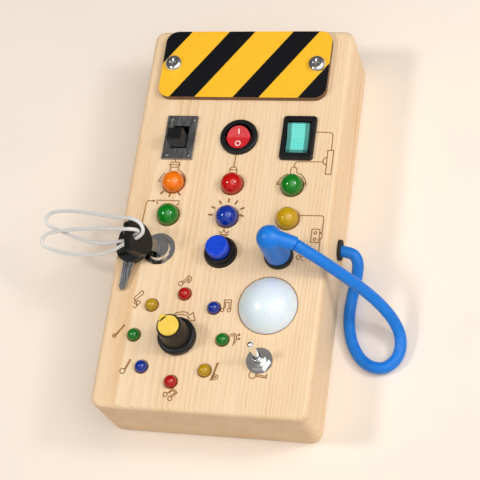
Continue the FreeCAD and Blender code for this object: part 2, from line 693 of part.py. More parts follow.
def make_lock():
    x, y, top = LOCK_X, LOCK_Y, lock_top()
    flange_top = FACE + LOCK_FLANGE_T
    barrel = rod(x, y, FACE, flange_top, LOCK_FLANGE_R)
    barrel = barrel.fuse(cone(x, y, flange_top, top, LOCK_BOSS_R, LOCK_BOSS_TOP_R))
    barrel = barrel.fuse(rod(x, y, FACE - LOCK_DEPTH, FACE, LOCK_BODY_R))
    bore = rod(x, y, FACE - LOCK_DEPTH - 1, top + 1, LOCK_PLUG_R + RUNNING)
    save("lock_barrel", barrel.cut(bore))
    save("lock_nut", nut(x, y, INNER - LOCK_NUT_T, INNER, LOCK_NUT_R, LOCK_BODY_R + RUNNING))
    plug = rod(x, y, FACE - LOCK_DEPTH, top, LOCK_PLUG_R)
    save("lock_plug", plug.cut(keyway(RUNNING)))


def key_head():
    """A key head lying in the YZ plane: the blade enters at the bottom, z = 0."""
    half = KEY_HEAD_W / 2
    flat_top = KEY_HEAD_L - KEY_HEAD_R
    x = -KEY_HEAD_T / 2
    shoulder = KEY_HEAD_L * KEY_HEAD_SHOULDER
    side_low = Vec(x, -half, shoulder)
    side_high = Vec(x, half, shoulder)
    corner = KEY_HEAD_R * math.sin(math.radians(45))
    outline = [
        Part.Arc(side_low, Vec(x, 0, 0), side_high).toShape(),
        Part.LineSegment(side_high, Vec(x, half, flat_top)).toShape(),
        Part.Arc(Vec(x, half, flat_top),
                 Vec(x, half - KEY_HEAD_R + corner, flat_top + corner),
                 Vec(x, half - KEY_HEAD_R, KEY_HEAD_L)).toShape(),
        Part.LineSegment(Vec(x, half - KEY_HEAD_R, KEY_HEAD_L),
                         Vec(x, KEY_HEAD_R - half, KEY_HEAD_L)).toShape(),
        Part.Arc(Vec(x, KEY_HEAD_R - half, KEY_HEAD_L),
                 Vec(x, KEY_HEAD_R - half - corner, flat_top + corner),
                 Vec(x, -half, flat_top)).toShape(),
        Part.LineSegment(Vec(x, -half, flat_top), side_low).toShape()]
    head = Part.Face(Part.Wire(outline)).extrude(Vec(KEY_HEAD_T, 0, 0))
    hole_z = KEY_HEAD_L - KEY_HOLE_INSET
    hole = Part.makeCylinder(KEY_HOLE_R, KEY_HEAD_T + 2, Vec(x - 1, 0, hole_z), Vec(1, 0, 0))
    slot = block(0, 0, KEY_BLADE_T + 2 * RUNNING, KEY_BLADE_W + 2 * RUNNING, -1, KEY_SHOULDER + RUNNING)
    return head.cut([hole, slot])


def leaning(shape):
    """Puts a piece built upright on the key's leaning axis above the lock."""
    start = lock_top() + KEY_NECK
    tilt = FreeCAD.Placement(Vec(0, 0, 0), FreeCAD.Rotation(Vec(0, 1, 0), -KEY_LEAN))
    piece = shape.copy()
    piece.Placement = at(LOCK_X, LOCK_Y, start, LOCK_TURN).multiply(tilt).multiply(shape.Placement)
    return piece


def make_key():
    top = lock_top()
    straight = block(0, 0, KEY_BLADE_T, KEY_BLADE_W, top - KEY_BLADE_DEPTH, top + KEY_NECK)
    straight.Placement = at(LOCK_X, LOCK_Y, 0, LOCK_TURN)
    bend = Part.makeCylinder(KEY_BLADE_T / 2, KEY_BLADE_W, Vec(0, -KEY_BLADE_W / 2, 0), Vec(0, 1, 0))
    upper = block(0, 0, KEY_BLADE_T, KEY_BLADE_W, 0, 2 * KEY_SHOULDER)
    blade = straight.fuse([leaning(bend), leaning(upper)])
    save("key_blade", blade)
    head = key_head()
    head.translate(Vec(0, 0, KEY_SHOULDER))
    save("key_head", leaning(head))


def spare_place(shape):
    """Lays an upright piece on the board's face, its blade pointing down the board."""
    lay = FreeCAD.Placement(Vec(0, 0, 0), FreeCAD.Rotation(Vec(1, 1, 1), -120))
    roll = FreeCAD.Placement(Vec(0, 0, 0), FreeCAD.Rotation(Vec(0, 1, 0), -SPARE_ROLL))
    pitch = FreeCAD.Placement(Vec(0, 0, 0), FreeCAD.Rotation(Vec(1, 0, 0), SPARE_PITCH))
    piece = shape.copy()
    piece.Placement = at(SPARE_X, SPARE_Y, SPARE_Z, -SPARE_YAW).multiply(pitch).multiply(roll).multiply(lay)
    return piece


def make_spare_key():
    x = -KEY_BLADE_T / 2
    half = KEY_BLADE_W / 2
    tip = SPARE_TIP_W / 2
    points = [Vec(x, -half, KEY_SHOULDER),
              Vec(x, -half, -1),
              Vec(x, -tip, tip - SPARE_BLADE_L),
              Vec(x, 0, -SPARE_BLADE_L),
              Vec(x, tip, tip - SPARE_BLADE_L),
              Vec(x, half, -1),
              Vec(x, half, KEY_SHOULDER)]
    save("spare_key_head", spare_place(key_head()))
    save("spare_key_blade", spare_place(polygon_solid(points, Vec(KEY_BLADE_T, 0, 0))))


# Push button, plug socket and plug

def make_push_button():
    x, y = PUSH_X, PUSH_Y
    top = FACE + PUSH_COLLAR_H
    bezel = cone(x, y, FACE, FACE + PUSH_FLANGE_T, PUSH_FLANGE_R, PUSH_COLLAR_R + PUSH_COLLAR_SLOPE)
    bezel = bezel.fuse(rod(x, y, FACE, top, PUSH_COLLAR_R))
    bezel = bezel.fuse(rod(x, y, FACE - PUSH_DEPTH, FACE, PUSH_BODY_R))
    seat = top - PUSH_TRAVEL - SLIDE_KNOB_GAP
    bezel = bezel.cut(rod(x, y, seat, top + 1, PUSH_BORE_R))
    bezel = bezel.cut(rod(x, y, FACE - PUSH_DEPTH + SLIDE_CASE_WALL, seat + 1, PUSH_STEM_R + FIT))
    save("push_bezel", bezel)
    save("push_nut", nut(x, y, INNER - PUSH_NUT_T, INNER, PUSH_NUT_R, PUSH_BODY_R + RUNNING))
    cap = rod(x, y, top, FACE + PUSH_CAP_H, PUSH_CAP_R)
    cap = cap.makeFillet(PUSH_CAP_ROUND, edges_at(cap, FACE + PUSH_CAP_H))
    stem_bottom = FACE - PUSH_DEPTH + SLIDE_CASE_WALL + PUSH_TRAVEL + SLIDE_KNOB_GAP
    stem = rod(x, y, stem_bottom, top, PUSH_STEM_R)
    save("push_cap", cap.fuse(stem))


def cord_end():
    return Vec(*CORD_POINTS[-1])


def make_socket():
    x, y = SOCKET_X, SOCKET_Y
    ring = rod(x, y, FACE, FACE + SOCKET_RING_T, SOCKET_RING_R)
    ring = ring.makeFillet(SOCKET_RING_T * BEZEL_ROUND, edges_at(ring, FACE + SOCKET_RING_T))
    barrel = ring.fuse(rod(x, y, FACE - SOCKET_DEPTH, FACE, SOCKET_BODY_R))
    bore = rod(x, y, FACE - SOCKET_DEPTH + 1, FACE + SOCKET_RING_T + 1, SOCKET_BORE_R)
    save("socket_barrel", barrel.cut(bore))
    save("socket_nut", nut(x, y, INNER - SOCKET_NUT_T, INNER, SOCKET_NUT_R, SOCKET_BODY_R + RUNNING))


def make_plug():
    x, y = SOCKET_X, SOCKET_Y
    base = FACE + SOCKET_RING_T + BOOT_GAP
    top = FACE + BOOT_H
    shoulder = top - BOOT_R
    boot = rod(x, y, base, shoulder, BOOT_R)
    dome = Part.makeSphere(BOOT_R, Vec(x, y, shoulder))
    boot = boot.fuse(dome.common(rod(x, y, shoulder, top, BOOT_R)))
    end = cord_end()
    backward = Vec(*CORD_POINTS[-2]) - end
    way = Vec(x + BOOT_ARM_INSET, y, top - BOOT_ARM_DROP) - end
    length = way.Length + BOOT_ARM_BACK
    way.normalize()
    arm = Part.makeCone(BOOT_NECK_R, BOOT_ARM_R, length, end - way * BOOT_ARM_BACK, way)
    arm = arm.cut(Part.makeCylinder(2 * BOOT_NECK_R, 2 * length, end, backward))
    pin_seat = rod(x, y, base - 1, base + PIN_SEAT + RUNNING, PIN_R + RUNNING)
    save("plug_boot", boot.fuse(arm).cut(pin_seat))
    pin = rod(x, y, base - PIN_L, base + PIN_SEAT, PIN_R)
    pin = pin.makeFillet(PIN_R * PIN_ROUND, edges_at(pin, base - PIN_L))
    save("plug_pin", pin)


# Blue cord, its grommet and the white cord through the keys

def make_cords():
    save("blue_cord", tube("blue_cord", CORD_POINTS, CORD_D))
    save("key_loop", tube("key_loop", LOOP_POINTS, LOOP_D))
    out_x = BOARD_W / 2
    flange = Part.makeCylinder(GROMMET_W / 2, GROMMET_T, Vec(out_x, GROMMET_Y, GROMMET_Z), Vec(1, 0, 0))
    spread = (GROMMET_H - GROMMET_W) / 2
    upper = flange.copy()
    upper.translate(Vec(0, spread, 0))
    flange.translate(Vec(0, -spread, 0))
    middle = box(out_x, out_x + GROMMET_T, GROMMET_Y - spread, GROMMET_Y + spread,
                 GROMMET_Z - GROMMET_W / 2, GROMMET_Z + GROMMET_W / 2)
    barrel = Part.makeCylinder(GROMMET_BARREL_R, SIDE_WALL, Vec(POCKET_X, GROMMET_Y, GROMMET_Z), Vec(1, 0, 0))
    bore = Part.makeCylinder(GROMMET_BORE_R, SIDE_WALL + GROMMET_T + 2,
                             Vec(POCKET_X - 1, GROMMET_Y, GROMMET_Z), Vec(1, 0, 0))
    save("cord_grommet", flange.fuse([upper, middle, barrel]).cut(bore))


# Milky dome lamp

def make_dome():
    x, y = DOME_X, DOME_Y
    sphere_r = (DOME_R ** 2 + DOME_RISE ** 2) / (2 * DOME_RISE)
    centre = Vec(x, y, FACE + DOME_RISE - sphere_r)
    column = rod(x, y, INNER, FACE, DOME_R)
    cap = Part.makeSphere(sphere_r, centre).common(rod(x, y, FACE, FACE + DOME_RISE, DOME_R))
    inner = Part.makeSphere(sphere_r - DOME_WALL, centre)
    inner = inner.common(rod(x, y, FACE, FACE + DOME_RISE, DOME_R - DOME_WALL))
    inner = inner.fuse(rod(x, y, INNER - DOME_FLANGE_T - 1, FACE, DOME_R - DOME_WALL))
    flange = rod(x, y, INNER - DOME_FLANGE_T, INNER, DOME_FLANGE_R)
    save("dome_lens", column.fuse([cap, flange]).cut(inner))
    bottom = CIRCUIT_TOP - CIRCUIT_T
    circuit = rod(x, y, bottom, CIRCUIT_TOP, DOME_CIRCUIT_R)
    led = rod(x, y, CIRCUIT_TOP, CIRCUIT_TOP + 2 * DOME_LED_R, DOME_LED_R)
    led = led.makeFillet(DOME_LED_R * LED_ROUND, edges_at(led, CIRCUIT_TOP + 2 * DOME_LED_R))
    save("dome_circuit", circuit.fuse(led))


# Toggle switch

def make_toggle():
    x, y = TOGGLE_X, TOGGLE_Y
    top = FACE + TOGGLE_WASHER_T + TOGGLE_BUSH_H
    body = block(0, 0, TOGGLE_BODY_W, TOGGLE_BODY_L, INNER - TOGGLE_BODY_DEPTH, INNER)
    body.Placement = at(x, y, 0, TOGGLE_TURN)
    case = body.fuse(rod(x, y, INNER, top, TOGGLE_BUSH_R))
    pivot = toggle_pivot()
    case = case.cut([rod(x, y, pivot - TOGGLE_BALL_R - FIT, top + 1, TOGGLE_BORE_R)])
    save("toggle_case", case)
    washer = rod(x, y, FACE, FACE + TOGGLE_WASHER_T, TOGGLE_WASHER_R)
    flats = hexagon(x, y, FACE + TOGGLE_WASHER_T, FACE + TOGGLE_WASHER_T + TOGGLE_NUT_T, TOGGLE_NUT_R)
    ring = washer.fuse(flats).cut(rod(x, y, FACE - 1, top, TOGGLE_BUSH_R + RUNNING))
    save("toggle_nut", ring)
    lever = Part.makeSphere(TOGGLE_BALL_R, Vec(x, y, pivot))
    lever = lever.fuse(cone(x, y, pivot, pivot + TOGGLE_LEVER_L, TOGGLE_LEVER_R0, TOGGLE_LEVER_R1))
    lever = lever.fuse(Part.makeSphere(TOGGLE_LEVER_R1, Vec(x, y, pivot + TOGGLE_LEVER_L)))
    turn = math.radians(TOGGLE_TURN)
    lever.rotate(Vec(x, y, pivot), Vec(math.cos(turn), math.sin(turn), 0), -TOGGLE_THROW)
    save("toggle_lever", lever)


def toggle_pivot():
    return FACE + TOGGLE_WASHER_T + TOGGLE_BUSH_H - TOGGLE_PIVOT_DROP


# Rotary switch and knob

def make_rotary():
    x, y = RING_X, RING_Y
    base = FACE + ROTARY_BUSH_H
    switch = rod(x, y, INNER - ROTARY_DEPTH, INNER, ROTARY_R)
    switch = switch.fuse(rod(x, y, INNER, base, ROTARY_BUSH_R))
    switch = switch.cut(rod(x, y, INNER - ROTARY_DEPTH + ROTARY_FLOOR, base + 1, SHAFT_R + RUNNING))
    save("rotary_switch", switch)
    top = FACE + KNOB_GAP + KNOB_H
    shaft_top = top - KNOB_ROOF
    save("knob_shaft", rod(x, y, INNER - ROTARY_DEPTH + ROTARY_FLOOR + FIT, shaft_top, SHAFT_R))
    low = FACE + KNOB_GAP
    knob = rod(x, y, low, low + KNOB_SKIRT_H, KNOB_SKIRT_R)
    knob = knob.makeFillet(KNOB_BASE_ROUND, edges_at(knob, low + KNOB_SKIRT_H))
    knob = knob.fuse(cone(x, y, low + KNOB_SKIRT_H - KNOB_OVERLAP, top, KNOB_BASE_R, KNOB_TOP_R))
    hollow = rod(x, y, low - 1, base + KNOB_GAP, ROTARY_BUSH_R + KNOB_GAP)
    knob = knob.cut([hollow, rod(x, y, low, shaft_top + RUNNING, SHAFT_R + RUNNING)])
    pointer = block(KNOB_CAP_R + KNOB_TOP_R / 2, 0, KNOB_TOP_R, POINTER_W, top - POINTER_DEPTH, top + 1)
    pointer.Placement = at(x, y, 0, KNOB_REST).multiply(pointer.Placement)
    save("knob_body", knob.cut(pointer))
    cap = rod(x, y, top, top + KNOB_CAP_H, KNOB_CAP_R)
    cap = cap.makeFillet(KNOB_CAP_ROUND, edges_at(cap, top + KNOB_CAP_H))
    save("knob_cap", cap)


# Battery case, cells, contacts, cover and its screw

def make_battery():
    x, y = BATTERY_X, BATTERY_Y
    case = block(x, y, CASE_W, CASE_H, 0, CASE_DEPTH)
    flange = block(x, y, CASE_W + 2 * CASE_FLANGE, CASE_H + 2 * CASE_FLANGE, PANEL_T, PANEL_T + CASE_WALL)
    ledge = DOOR_INSET + DOOR_T
    inside_w = CASE_W - 2 * CASE_WALL
    inside_h = CASE_H - 2 * CASE_WALL
    mouth = block(x, y, inside_w, inside_h, -1, ledge)
    room = block(x, y, inside_w - 2 * DOOR_LIP, inside_h - 2 * DOOR_LIP, -1, CASE_DEPTH - CASE_WALL)
    case = case.fuse(flange).cut([mouth, room])
    screw_x = x + inside_w / 2 - DOOR_LIP - DOOR_BOSS / 2
    boss = block(screw_x, y, DOOR_BOSS, DOOR_BOSS, ledge, CASE_DEPTH - CASE_WALL)
    case = case.fuse(boss)
    case = case.cut(rod(screw_x, y, -1, DOOR_INSET + DOOR_SCREW_L + RUNNING, DOOR_SCREW_R + RUNNING))
    save("battery_case", case)
    cells = []
    contacts = []
    cell_z = ledge + CELL_GAP + CELL_R
    cell_x = x - inside_w / 2 + DOOR_LIP + CELL_GAP + CONTACT_T
    tip_x = cell_x + CELL_L
    contact_low, contact_high = ledge + CONTACT_INSET, CASE_DEPTH - CASE_WALL - CONTACT_INSET
    for side in (-1, 1):
        cell_y = y + side * (CELL_R + CELL_GAP)
        cell = Part.makeCylinder(CELL_R, CELL_L, Vec(cell_x, cell_y, cell_z), Vec(1, 0, 0))
        tip = Part.makeCylinder(CELL_TIP_R, CELL_TIP_L, Vec(tip_x, cell_y, cell_z), Vec(1, 0, 0))
        cells.append(cell.fuse(tip))
        for contact_x in (cell_x - CONTACT_T / 2, tip_x + CELL_TIP_L + CONTACT_T / 2):
            contacts.append(block(contact_x, cell_y, CONTACT_T, CONTACT_W, contact_low, contact_high))
    save("battery_cells", Part.makeCompound(cells))
    save("battery_contacts", Part.makeCompound(contacts))
    door = block(x, y, inside_w - 2 * DOOR_GAP, inside_h - 2 * DOOR_GAP, DOOR_INSET, ledge)
    head_top = DOOR_INSET + DOOR_SCREW_HEAD_H
    head_room = cone(screw_x, y, DOOR_INSET, head_top, DOOR_SCREW_HEAD_R + RUNNING, DOOR_SCREW_R + RUNNING)
    door = door.cut([head_room, rod(screw_x, y, 0, ledge + 1, DOOR_SCREW_R + RUNNING)])
    save("battery_door", door)
    screw = cone(screw_x, y, DOOR_INSET, head_top, DOOR_SCREW_HEAD_R, DOOR_SCREW_R)
    screw = screw.fuse(rod(screw_x, y, head_top, DOOR_INSET + DOOR_SCREW_L, DOOR_SCREW_R))
    save("battery_door_screw", screw)


os.makedirs("parts", exist_ok=True)
make_wood_body()
make_back_panel()
make_plate()
make_slide_switch()
make_round_rocker()
make_rect_rocker()
make_lamps()
make_circuits()
make_lock()
make_key()
make_spare_key()
make_push_button()
make_socket()
make_plug()
make_cords()
make_dome()
make_toggle()
make_rotary()
make_battery()
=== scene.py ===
import math

import bmesh
import bpy
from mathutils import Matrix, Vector


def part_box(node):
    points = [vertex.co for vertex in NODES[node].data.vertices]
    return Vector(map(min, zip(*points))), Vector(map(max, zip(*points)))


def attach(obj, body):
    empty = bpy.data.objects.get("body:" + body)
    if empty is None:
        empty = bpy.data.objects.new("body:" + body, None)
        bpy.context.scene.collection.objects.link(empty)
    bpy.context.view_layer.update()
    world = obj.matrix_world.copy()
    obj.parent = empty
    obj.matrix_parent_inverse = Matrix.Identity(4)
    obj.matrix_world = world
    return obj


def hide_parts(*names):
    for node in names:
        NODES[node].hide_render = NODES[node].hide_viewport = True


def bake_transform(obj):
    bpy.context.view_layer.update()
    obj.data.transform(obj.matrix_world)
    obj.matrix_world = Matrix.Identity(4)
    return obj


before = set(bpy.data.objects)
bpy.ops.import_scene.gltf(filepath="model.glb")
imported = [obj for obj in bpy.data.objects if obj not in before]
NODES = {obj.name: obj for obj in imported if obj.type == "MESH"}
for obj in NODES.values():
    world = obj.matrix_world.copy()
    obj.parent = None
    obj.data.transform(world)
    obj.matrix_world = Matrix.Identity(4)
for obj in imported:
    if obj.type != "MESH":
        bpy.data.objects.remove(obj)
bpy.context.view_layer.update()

bl_info = {
    "name": "Wooden Busy Board",
    "version": (1, 0, 0),
    "blender": (4, 5, 0),
    "location": "View3D > Sidebar > Busy Board",
    "description": "Dresses a pine busy board: switches, lamps, lock, knob, plug and cords",
    "category": "Object",
}

MM = 0.001
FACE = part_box("striped_plate")[0].z
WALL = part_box("wood_body")[1].x


def middle(name):
    """The middle of one of the frame's pieces."""
    low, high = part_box(name)
    return (low + high) / 2


SOCKET = Vector((middle("socket_barrel").x, middle("socket_barrel").y, FACE))
LOCK = Vector((middle("lock_barrel").x, middle("lock_barrel").y, FACE))
ROCKER = middle("round_rocker_case")
PLATE = middle("striped_plate")
KNOB = middle("knob_cap")

# Red rocker: its pivot height, the height of its valley above that and the angle of its faces
PIVOT_Z = FACE - 1.4 * MM
VALLEY = 2.7
ROCKER_ANGLE = math.radians(9)

# The rocker's on mark, a line, and its off mark, a circle, with the widths of their lines in mm
ON_MARK = [(0, 1.5), (0, 3.9)]
ON_WIDTH = 0.5
OFF_MARK = (0, -2.9, 1.1)
OFF_WIDTH = 0.45

# Burnt marks lie this far above the wood in mm, and ink this far above the rocker
MARK_LIFT = 0.03
INK_LIFT = 0.04

# Lamps in mm: their radii, the gap between a lamp and its hole, and the sides of the browned rims
BIG_LAMP_R = 5.0
SMALL_LAMP_R = 2.8
DOME_R = 12.75
HOLE_GAP = 0.1
LAMP_RIM_SIDES = 40
DOME_RIM_SIDES = 72

# Rounded edges in mm, which catch the light as thin bright lines, and the least bend that is rounded
EDGE_ROUND = {"slide_plate": 0.35, "green_rocker": 0.4, "round_rocker": 0.3,
              "key_head": 0.5, "spare_key_head": 0.5, "toggle_nut": 0.3}
SHARP_ANGLE = math.radians(40)

# Stripes of the plate: how far they lean per millimetre of height, where the first black one starts
# from the plate's middle, and how far below its top the browned edge begins
STRIPE_LEAN = 0.705
STRIPE_START = 8.7 * MM
PRINT_DEPTH = 0.05 * MM

# Painted glow of the green rocker, with painted shade along its sides and ends: half the width and length of
# its bright part and its soft border; and the gap of its ribs
PAINTED_GLOW_HALF_W = 3.3 * MM
PAINTED_GLOW_HALF_L = 6.2 * MM
PAINTED_GLOW_BORDER = 0.5 * MM
RIB_GAP = 0.9 * MM

# The shift that brings the pine's heart, near the board's left side, to the middle of the rings
HEART = (42 * MM, 0, 8 * MM)

# Blender's wave textures repeat after this length at a scale of one
WAVE_REPEAT = 0.314

# Noise lies mostly between these two values
NOISE_LOW = 0.3
NOISE_HIGH = 0.7

# Plug moulding: the mesh size at which its arm joins its body, and the passes that smooth the join
BOOT_VOXEL = 0.35 * MM
BOOT_SMOOTHING = 10

# Knob pointer: outline in mm before it is turned, its depth in the cap, and how its top edge draws in
POINTER = [(3.6, -1.9), (5.9, -0.75), (6.1, 0.0), (5.9, 0.75), (3.6, 1.9)]
POINTER_TURN = math.radians(135)
POINTER_SINK = 0.4 * MM
POINTER_EDGE = 0.15 * MM
POINTER_TOP = 0.94

# Grip ribs of the battery cover: how many, the first one's place and their pitch in mm, and their size
GRIP_COUNT = 5
GRIP_START = 8
GRIP_PITCH = 2.2
GRIP_RIB = (1.0 * MM, 12 * MM, 0.4 * MM)
GRIP_ROUND = 0.12 * MM

# Sides of each cord and of a small circle, and a limit that keeps sharp mitred corners short
CORD_SIDES = 28
LOOP_SIDES = 14
CIRCLE_SIDES = 24
LEAST_MITRE = 0.5

# Camera: its place in metres, its turn in degrees, its lens and film width in mm, its nearest sight
CAMERA_PLACE = (0.17207, -0.24361, 0.58504)
CAMERA_TURN = (23.9496, 13.2960, 8.0564)
LENS = 106.97
FILM_WIDTH = 36
NEAREST_SEEN = 0.01

# Lights: the way to each, its width in metres and its power in watts, all at one distance
LIGHT_DISTANCE = 0.75
SOFTBOXES = (
    ("left_softbox", (-0.50, -0.15, 0.85), 0.13, 1.5),
    ("right_softbox", (0.69, 0.09, 0.72), 0.13, 0.9),
    ("top_softbox", (0.45, -0.05, 0.88), 0.8, 2.6))
# The room is brightest at the front right, and dim behind the board
BRIGHT_WAY = (0.55, -0.6, 0.58)
DIM_ROOM = 0.10
BRIGHT_ROOM = 0.62
# The floor reaches this far each way in metres, a hair below the board
FLOOR_REACH = 3
FLOOR_DROP = 0.2 * MM

# Blue cord's route in metres: from inside the side wall, then up to the plug
CORD_FROM_WALL = [
    (-0.0095, -0.0078, 0.0145), (0.0054, -0.0078, 0.0145), (0.0091, -0.0115, 0.0124),
    (0.0085, -0.0176, 0.0086), (0.0067, -0.0244, 0.0047), (0.0057, -0.0322, 0.0029),
    (0.0064, -0.0402, 0.0026), (0.0087, -0.0475, 0.0027), (0.0125, -0.0534, 0.0026),
    (0.0177, -0.0570, 0.0027), (0.0235, -0.0573, 0.0026), (0.0281, -0.0538, 0.0027),
    (0.0301, -0.0482, 0.0030), (0.0296, -0.0422, 0.0050), (0.0267, -0.0372, 0.0096),
    (0.0216, -0.0329, 0.0164), (0.0145, -0.0294, 0.0256)]
CORD_TO_PLUG = [(0.0272, -0.0069, 0.0012), (0.0189, -0.0043, 0.0110), (0.0104, -0.0014, 0.0174)]

# White cord's route in metres from the lock: two turns through the key, one through the spare
LOOP_FROM_LOCK = [
    (-0.0063, -0.0025, 0.0166), (-0.0012, -0.0014, 0.0193), (-0.0013, 0.0021, 0.0230),
    (-0.0058, 0.0044, 0.0236), (-0.0118, 0.0057, 0.0206), (-0.0204, 0.0086, 0.0154),
    (-0.0298, 0.0120, 0.0100), (-0.0389, 0.0148, 0.0050), (-0.0464, 0.0169, 0.0006),
    (-0.0526, 0.0181, -0.0028), (-0.0573, 0.0183, -0.0056), (-0.0598, 0.0163, -0.0072),
    (-0.0592, 0.0136, -0.0084), (-0.0549, 0.0117, -0.0078), (-0.0483, 0.0085, -0.0052),
    (-0.0392, 0.0042, -0.0008), (-0.0294, 0.0006, 0.0038), (-0.0213, -0.0010, 0.0074),
    (-0.0156, -0.0003, 0.0088), (-0.0118, 0.0013, 0.0064), (-0.0105, 0.0026, 0.0017),
    (-0.0098, 0.0069, 0.0009), (-0.0104, 0.0101, 0.0038), (-0.0122, 0.0077, 0.0092),
    (-0.0127, 0.0019, 0.0134), (-0.0090, -0.0009, 0.0154), (-0.0038, 0.0003, 0.0183),
    (-0.0037, -0.0002, 0.0220), (-0.0064, -0.0006, 0.0236), (-0.0120, 0.0004, 0.0206),
    (-0.0194, 0.0027, 0.0154), (-0.0286, 0.0048, 0.0098), (-0.0374, 0.0065, 0.0046),
    (-0.0453, 0.0076, 0.0004), (-0.0520, 0.0082, -0.0034), (-0.0572, 0.0082, -0.0062),
    (-0.0604, 0.0064, -0.0084), (-0.0598, 0.0037, -0.0096), (-0.0558, 0.0021, -0.0092),
    (-0.0502, 0.0000, -0.0072), (-0.0419, -0.0025, -0.0033), (-0.0324, -0.0046, 0.0014),
    (-0.0236, -0.0055, 0.0058), (-0.0168, -0.0049, 0.0098), (-0.0118, -0.0037, 0.0138),
    (-0.0068, -0.0026, 0.0163)]

# Marks burnt into the face, in mm: wiring lines, lamp shades, terminals and music signs
FINE_LINES = [
    [(-27.3, 25.2), (-27.2, 23.5)],
    [(-29.0, 23.5), (-25.4, 23.5), (-24.8, 22.1), (-25.5, 21.0), (-28.9, 21.0), (-29.6, 22.1),
     (-29.0, 23.5)],
    [(-29.5, 22.2), (-24.9, 22.2)],
    [(-28.9, 21.0), (-29.1, 19.0)],
    [(-25.5, 21.0), (-25.3, 19.6), (-23.2, 18.6), (-21.7, 16.6), (-20.9, 14.1), (-21.1, 14.0)],
    [(-31.2, 18.0), (-32.6, 16.4), (-33.4, 13.8), (-31.6, 13.9)],
    [(0.6, 27.6), (0.35, 21.8)],
    [(0.35, 21.7), (1.3, 21.7), (2.1, 20.4), (2.1, 18.4)],
    [(0.35, 21.7), (-0.6, 21.7), (-1.3, 20.5), (-1.2, 18.2)],
    [(-1.3, 20.4), (2.1, 20.3)],
    [(35.8, 39.8), (41.9, 39.7), (43.1, 39.1), (43.4, 38.2), (43.6, 31.0)],
    [(42.0, 30.9), (44.6, 30.9), (44.6, 19.2), (42.2, 19.3), (42.0, 30.9)],
    [(42.1, 27.5), (40.9, 27.0), (40.3, 25.7), (40.8, 24.4), (42.2, 23.7)],
    [(40.2, 25.2), (28.9, 25.0), (28.0, 24.3), (27.8, 22.4)],
    [(26.5, 19.0), (26.5, 21.5), (27.2, 22.3), (28.3, 22.4), (29.2, 21.6), (29.3, 19.7), (31.5, 18.9),
     (33.1, 17.0), (34.0, 15.0), (34.0, 13.8), (33.4, 13.7)],
    [(25.4, 19.0), (23.9, 18.2), (22.4, 16.7), (21.5, 15.3), (21.1, 13.8), (22.8, 13.7)],
    [(21.3, 14.6), (22.8, 14.6)],
    [(33.3, 14.6), (34.0, 14.6)],
    [(-31.8, 3.0), (-32.5, 3.0), (-32.7, 4.5), (-22.4, 4.5), (-22.3, 2.6), (-23.6, 2.6)],
    [(-34.1, 4.1), (-36.7, 4.2), (-37.5, 3.0), (-37.9, -8.0), (-37.8, -13.5)],
    [(0.25, -8.0), (0.35, -9.3)],
    [(-1.8, -9.4), (-0.7, -10.3), (0.3, -9.1), (1.4, -10.3), (2.5, -9.4), (2.1, -11.6), (-1.0, -11.6),
     (-1.8, -9.4)],
    [(-0.9, -11.0), (2.1, -11.0)],
    [(33.4, -0.7), (42.9, -0.6), (43.8, -1.1), (44.0, -2.1), (44.0, -8.3), (43.0, -8.6)],
    [(39.4, -6.9), (42.9, -7.0), (42.9, -13.2), (39.4, -13.0), (39.4, -6.9)],
    [(42.9, -8.9), (44.2, -9.0), (44.0, -11.3), (42.9, -11.3)],
    [(43.5, -11.3), (43.6, -17.0), (42.8, -18.4), (38.2, -19.4), (36.0, -20.2)],
    [(-16.4, -49.2), (-15.2, -48.2), (-12.6, -47.5), (-10.7, -47.7), (-9.1, -48.8), (-7.6, -47.7),
     (-6.3, -51.3), (-9.9, -51.1), (-9.0, -50.2), (-10.5, -49.2), (-12.4, -48.7), (-14.4, -49.1),
     (-16.4, -49.2)],
    [(-35.2, -46.2), (-34.2, -47.0), (-33.4, -45.9), (-34.2, -43.9), (-35.3, -42.7), (-34.6, -41.2),
     (-33.2, -40.1), (-32.6, -38.9), (-31.5, -39.1), (-31.7, -40.7), (-33.0, -41.7), (-34.6, -43.3),
     (-35.0, -44.6), (-33.6, -45.6), (-32.4, -44.8), (-32.3, -43.8), (-33.6, -43.5), (-33.9, -44.4)],
    [(-14.7, -34.0), (-12.3, -30.9), (-10.9, -31.8), (-10.9, -33.2), (-11.8, -34.2), (-12.4, -33.7),
     (-11.8, -32.9), (-12.1, -32.1), (-14.2, -34.7)],
    [(5.6, -45.3), (5.3, -41.3), (8.4, -41.1), (8.6, -45.2)],
    [(6.2, -45.1), (6.0, -42.4), (7.6, -42.3), (7.8, -44.9)],
    [(10.3, -57.7), (10.3, -56.6), (11.6, -56.1), (12.7, -56.7), (13.1, -58.2), (12.7, -60.0), (11.8, -61.5),
     (12.1, -59.7), (12.3, -57.9), (11.7, -56.9), (10.9, -57.4)],
    [(6.7, -69.5), (6.2, -69.6), (4.4, -77.1), (5.0, -77.2), (6.7, -69.5)],
    [(-13.6, -84.2), (-11.2, -81.9), (-9.1, -83.6), (-11.4, -85.7)],
    [(-12.9, -84.0), (-11.2, -82.7), (-10.0, -83.7), (-11.9, -85.2)],
    [(-34.1, -74.7), (-32.5, -70.3), (-31.9, -70.5), (-33.8, -75.1)],
    [(23.6, -73.6), (27.6, -74.0), (28.4, -72.9), (28.2, -74.7), (23.6, -74.3)]]
BOLD_LINES = [
    [(-30.3, 9.2), (-31.7, 7.5)], [(-27.2, 7.9), (-27.3, 6.2)], [(-23.6, 8.6), (-22.2, 7.2)],
    [(-8.0, -1.7), (-5.9, -1.8)], [(-7.0, 2.2), (-5.2, 1.4)], [(-3.9, 5.2), (-2.7, 3.6)],
    [(0.5, 6.4), (0.5, 4.4)], [(4.6, 5.5), (3.5, 3.6)], [(8.1, 2.2), (6.3, 1.3)], [(8.3, -2.0), (6.3, -1.4)],
    [(-40.6, -59.5), (-37.5, -54.8)]]
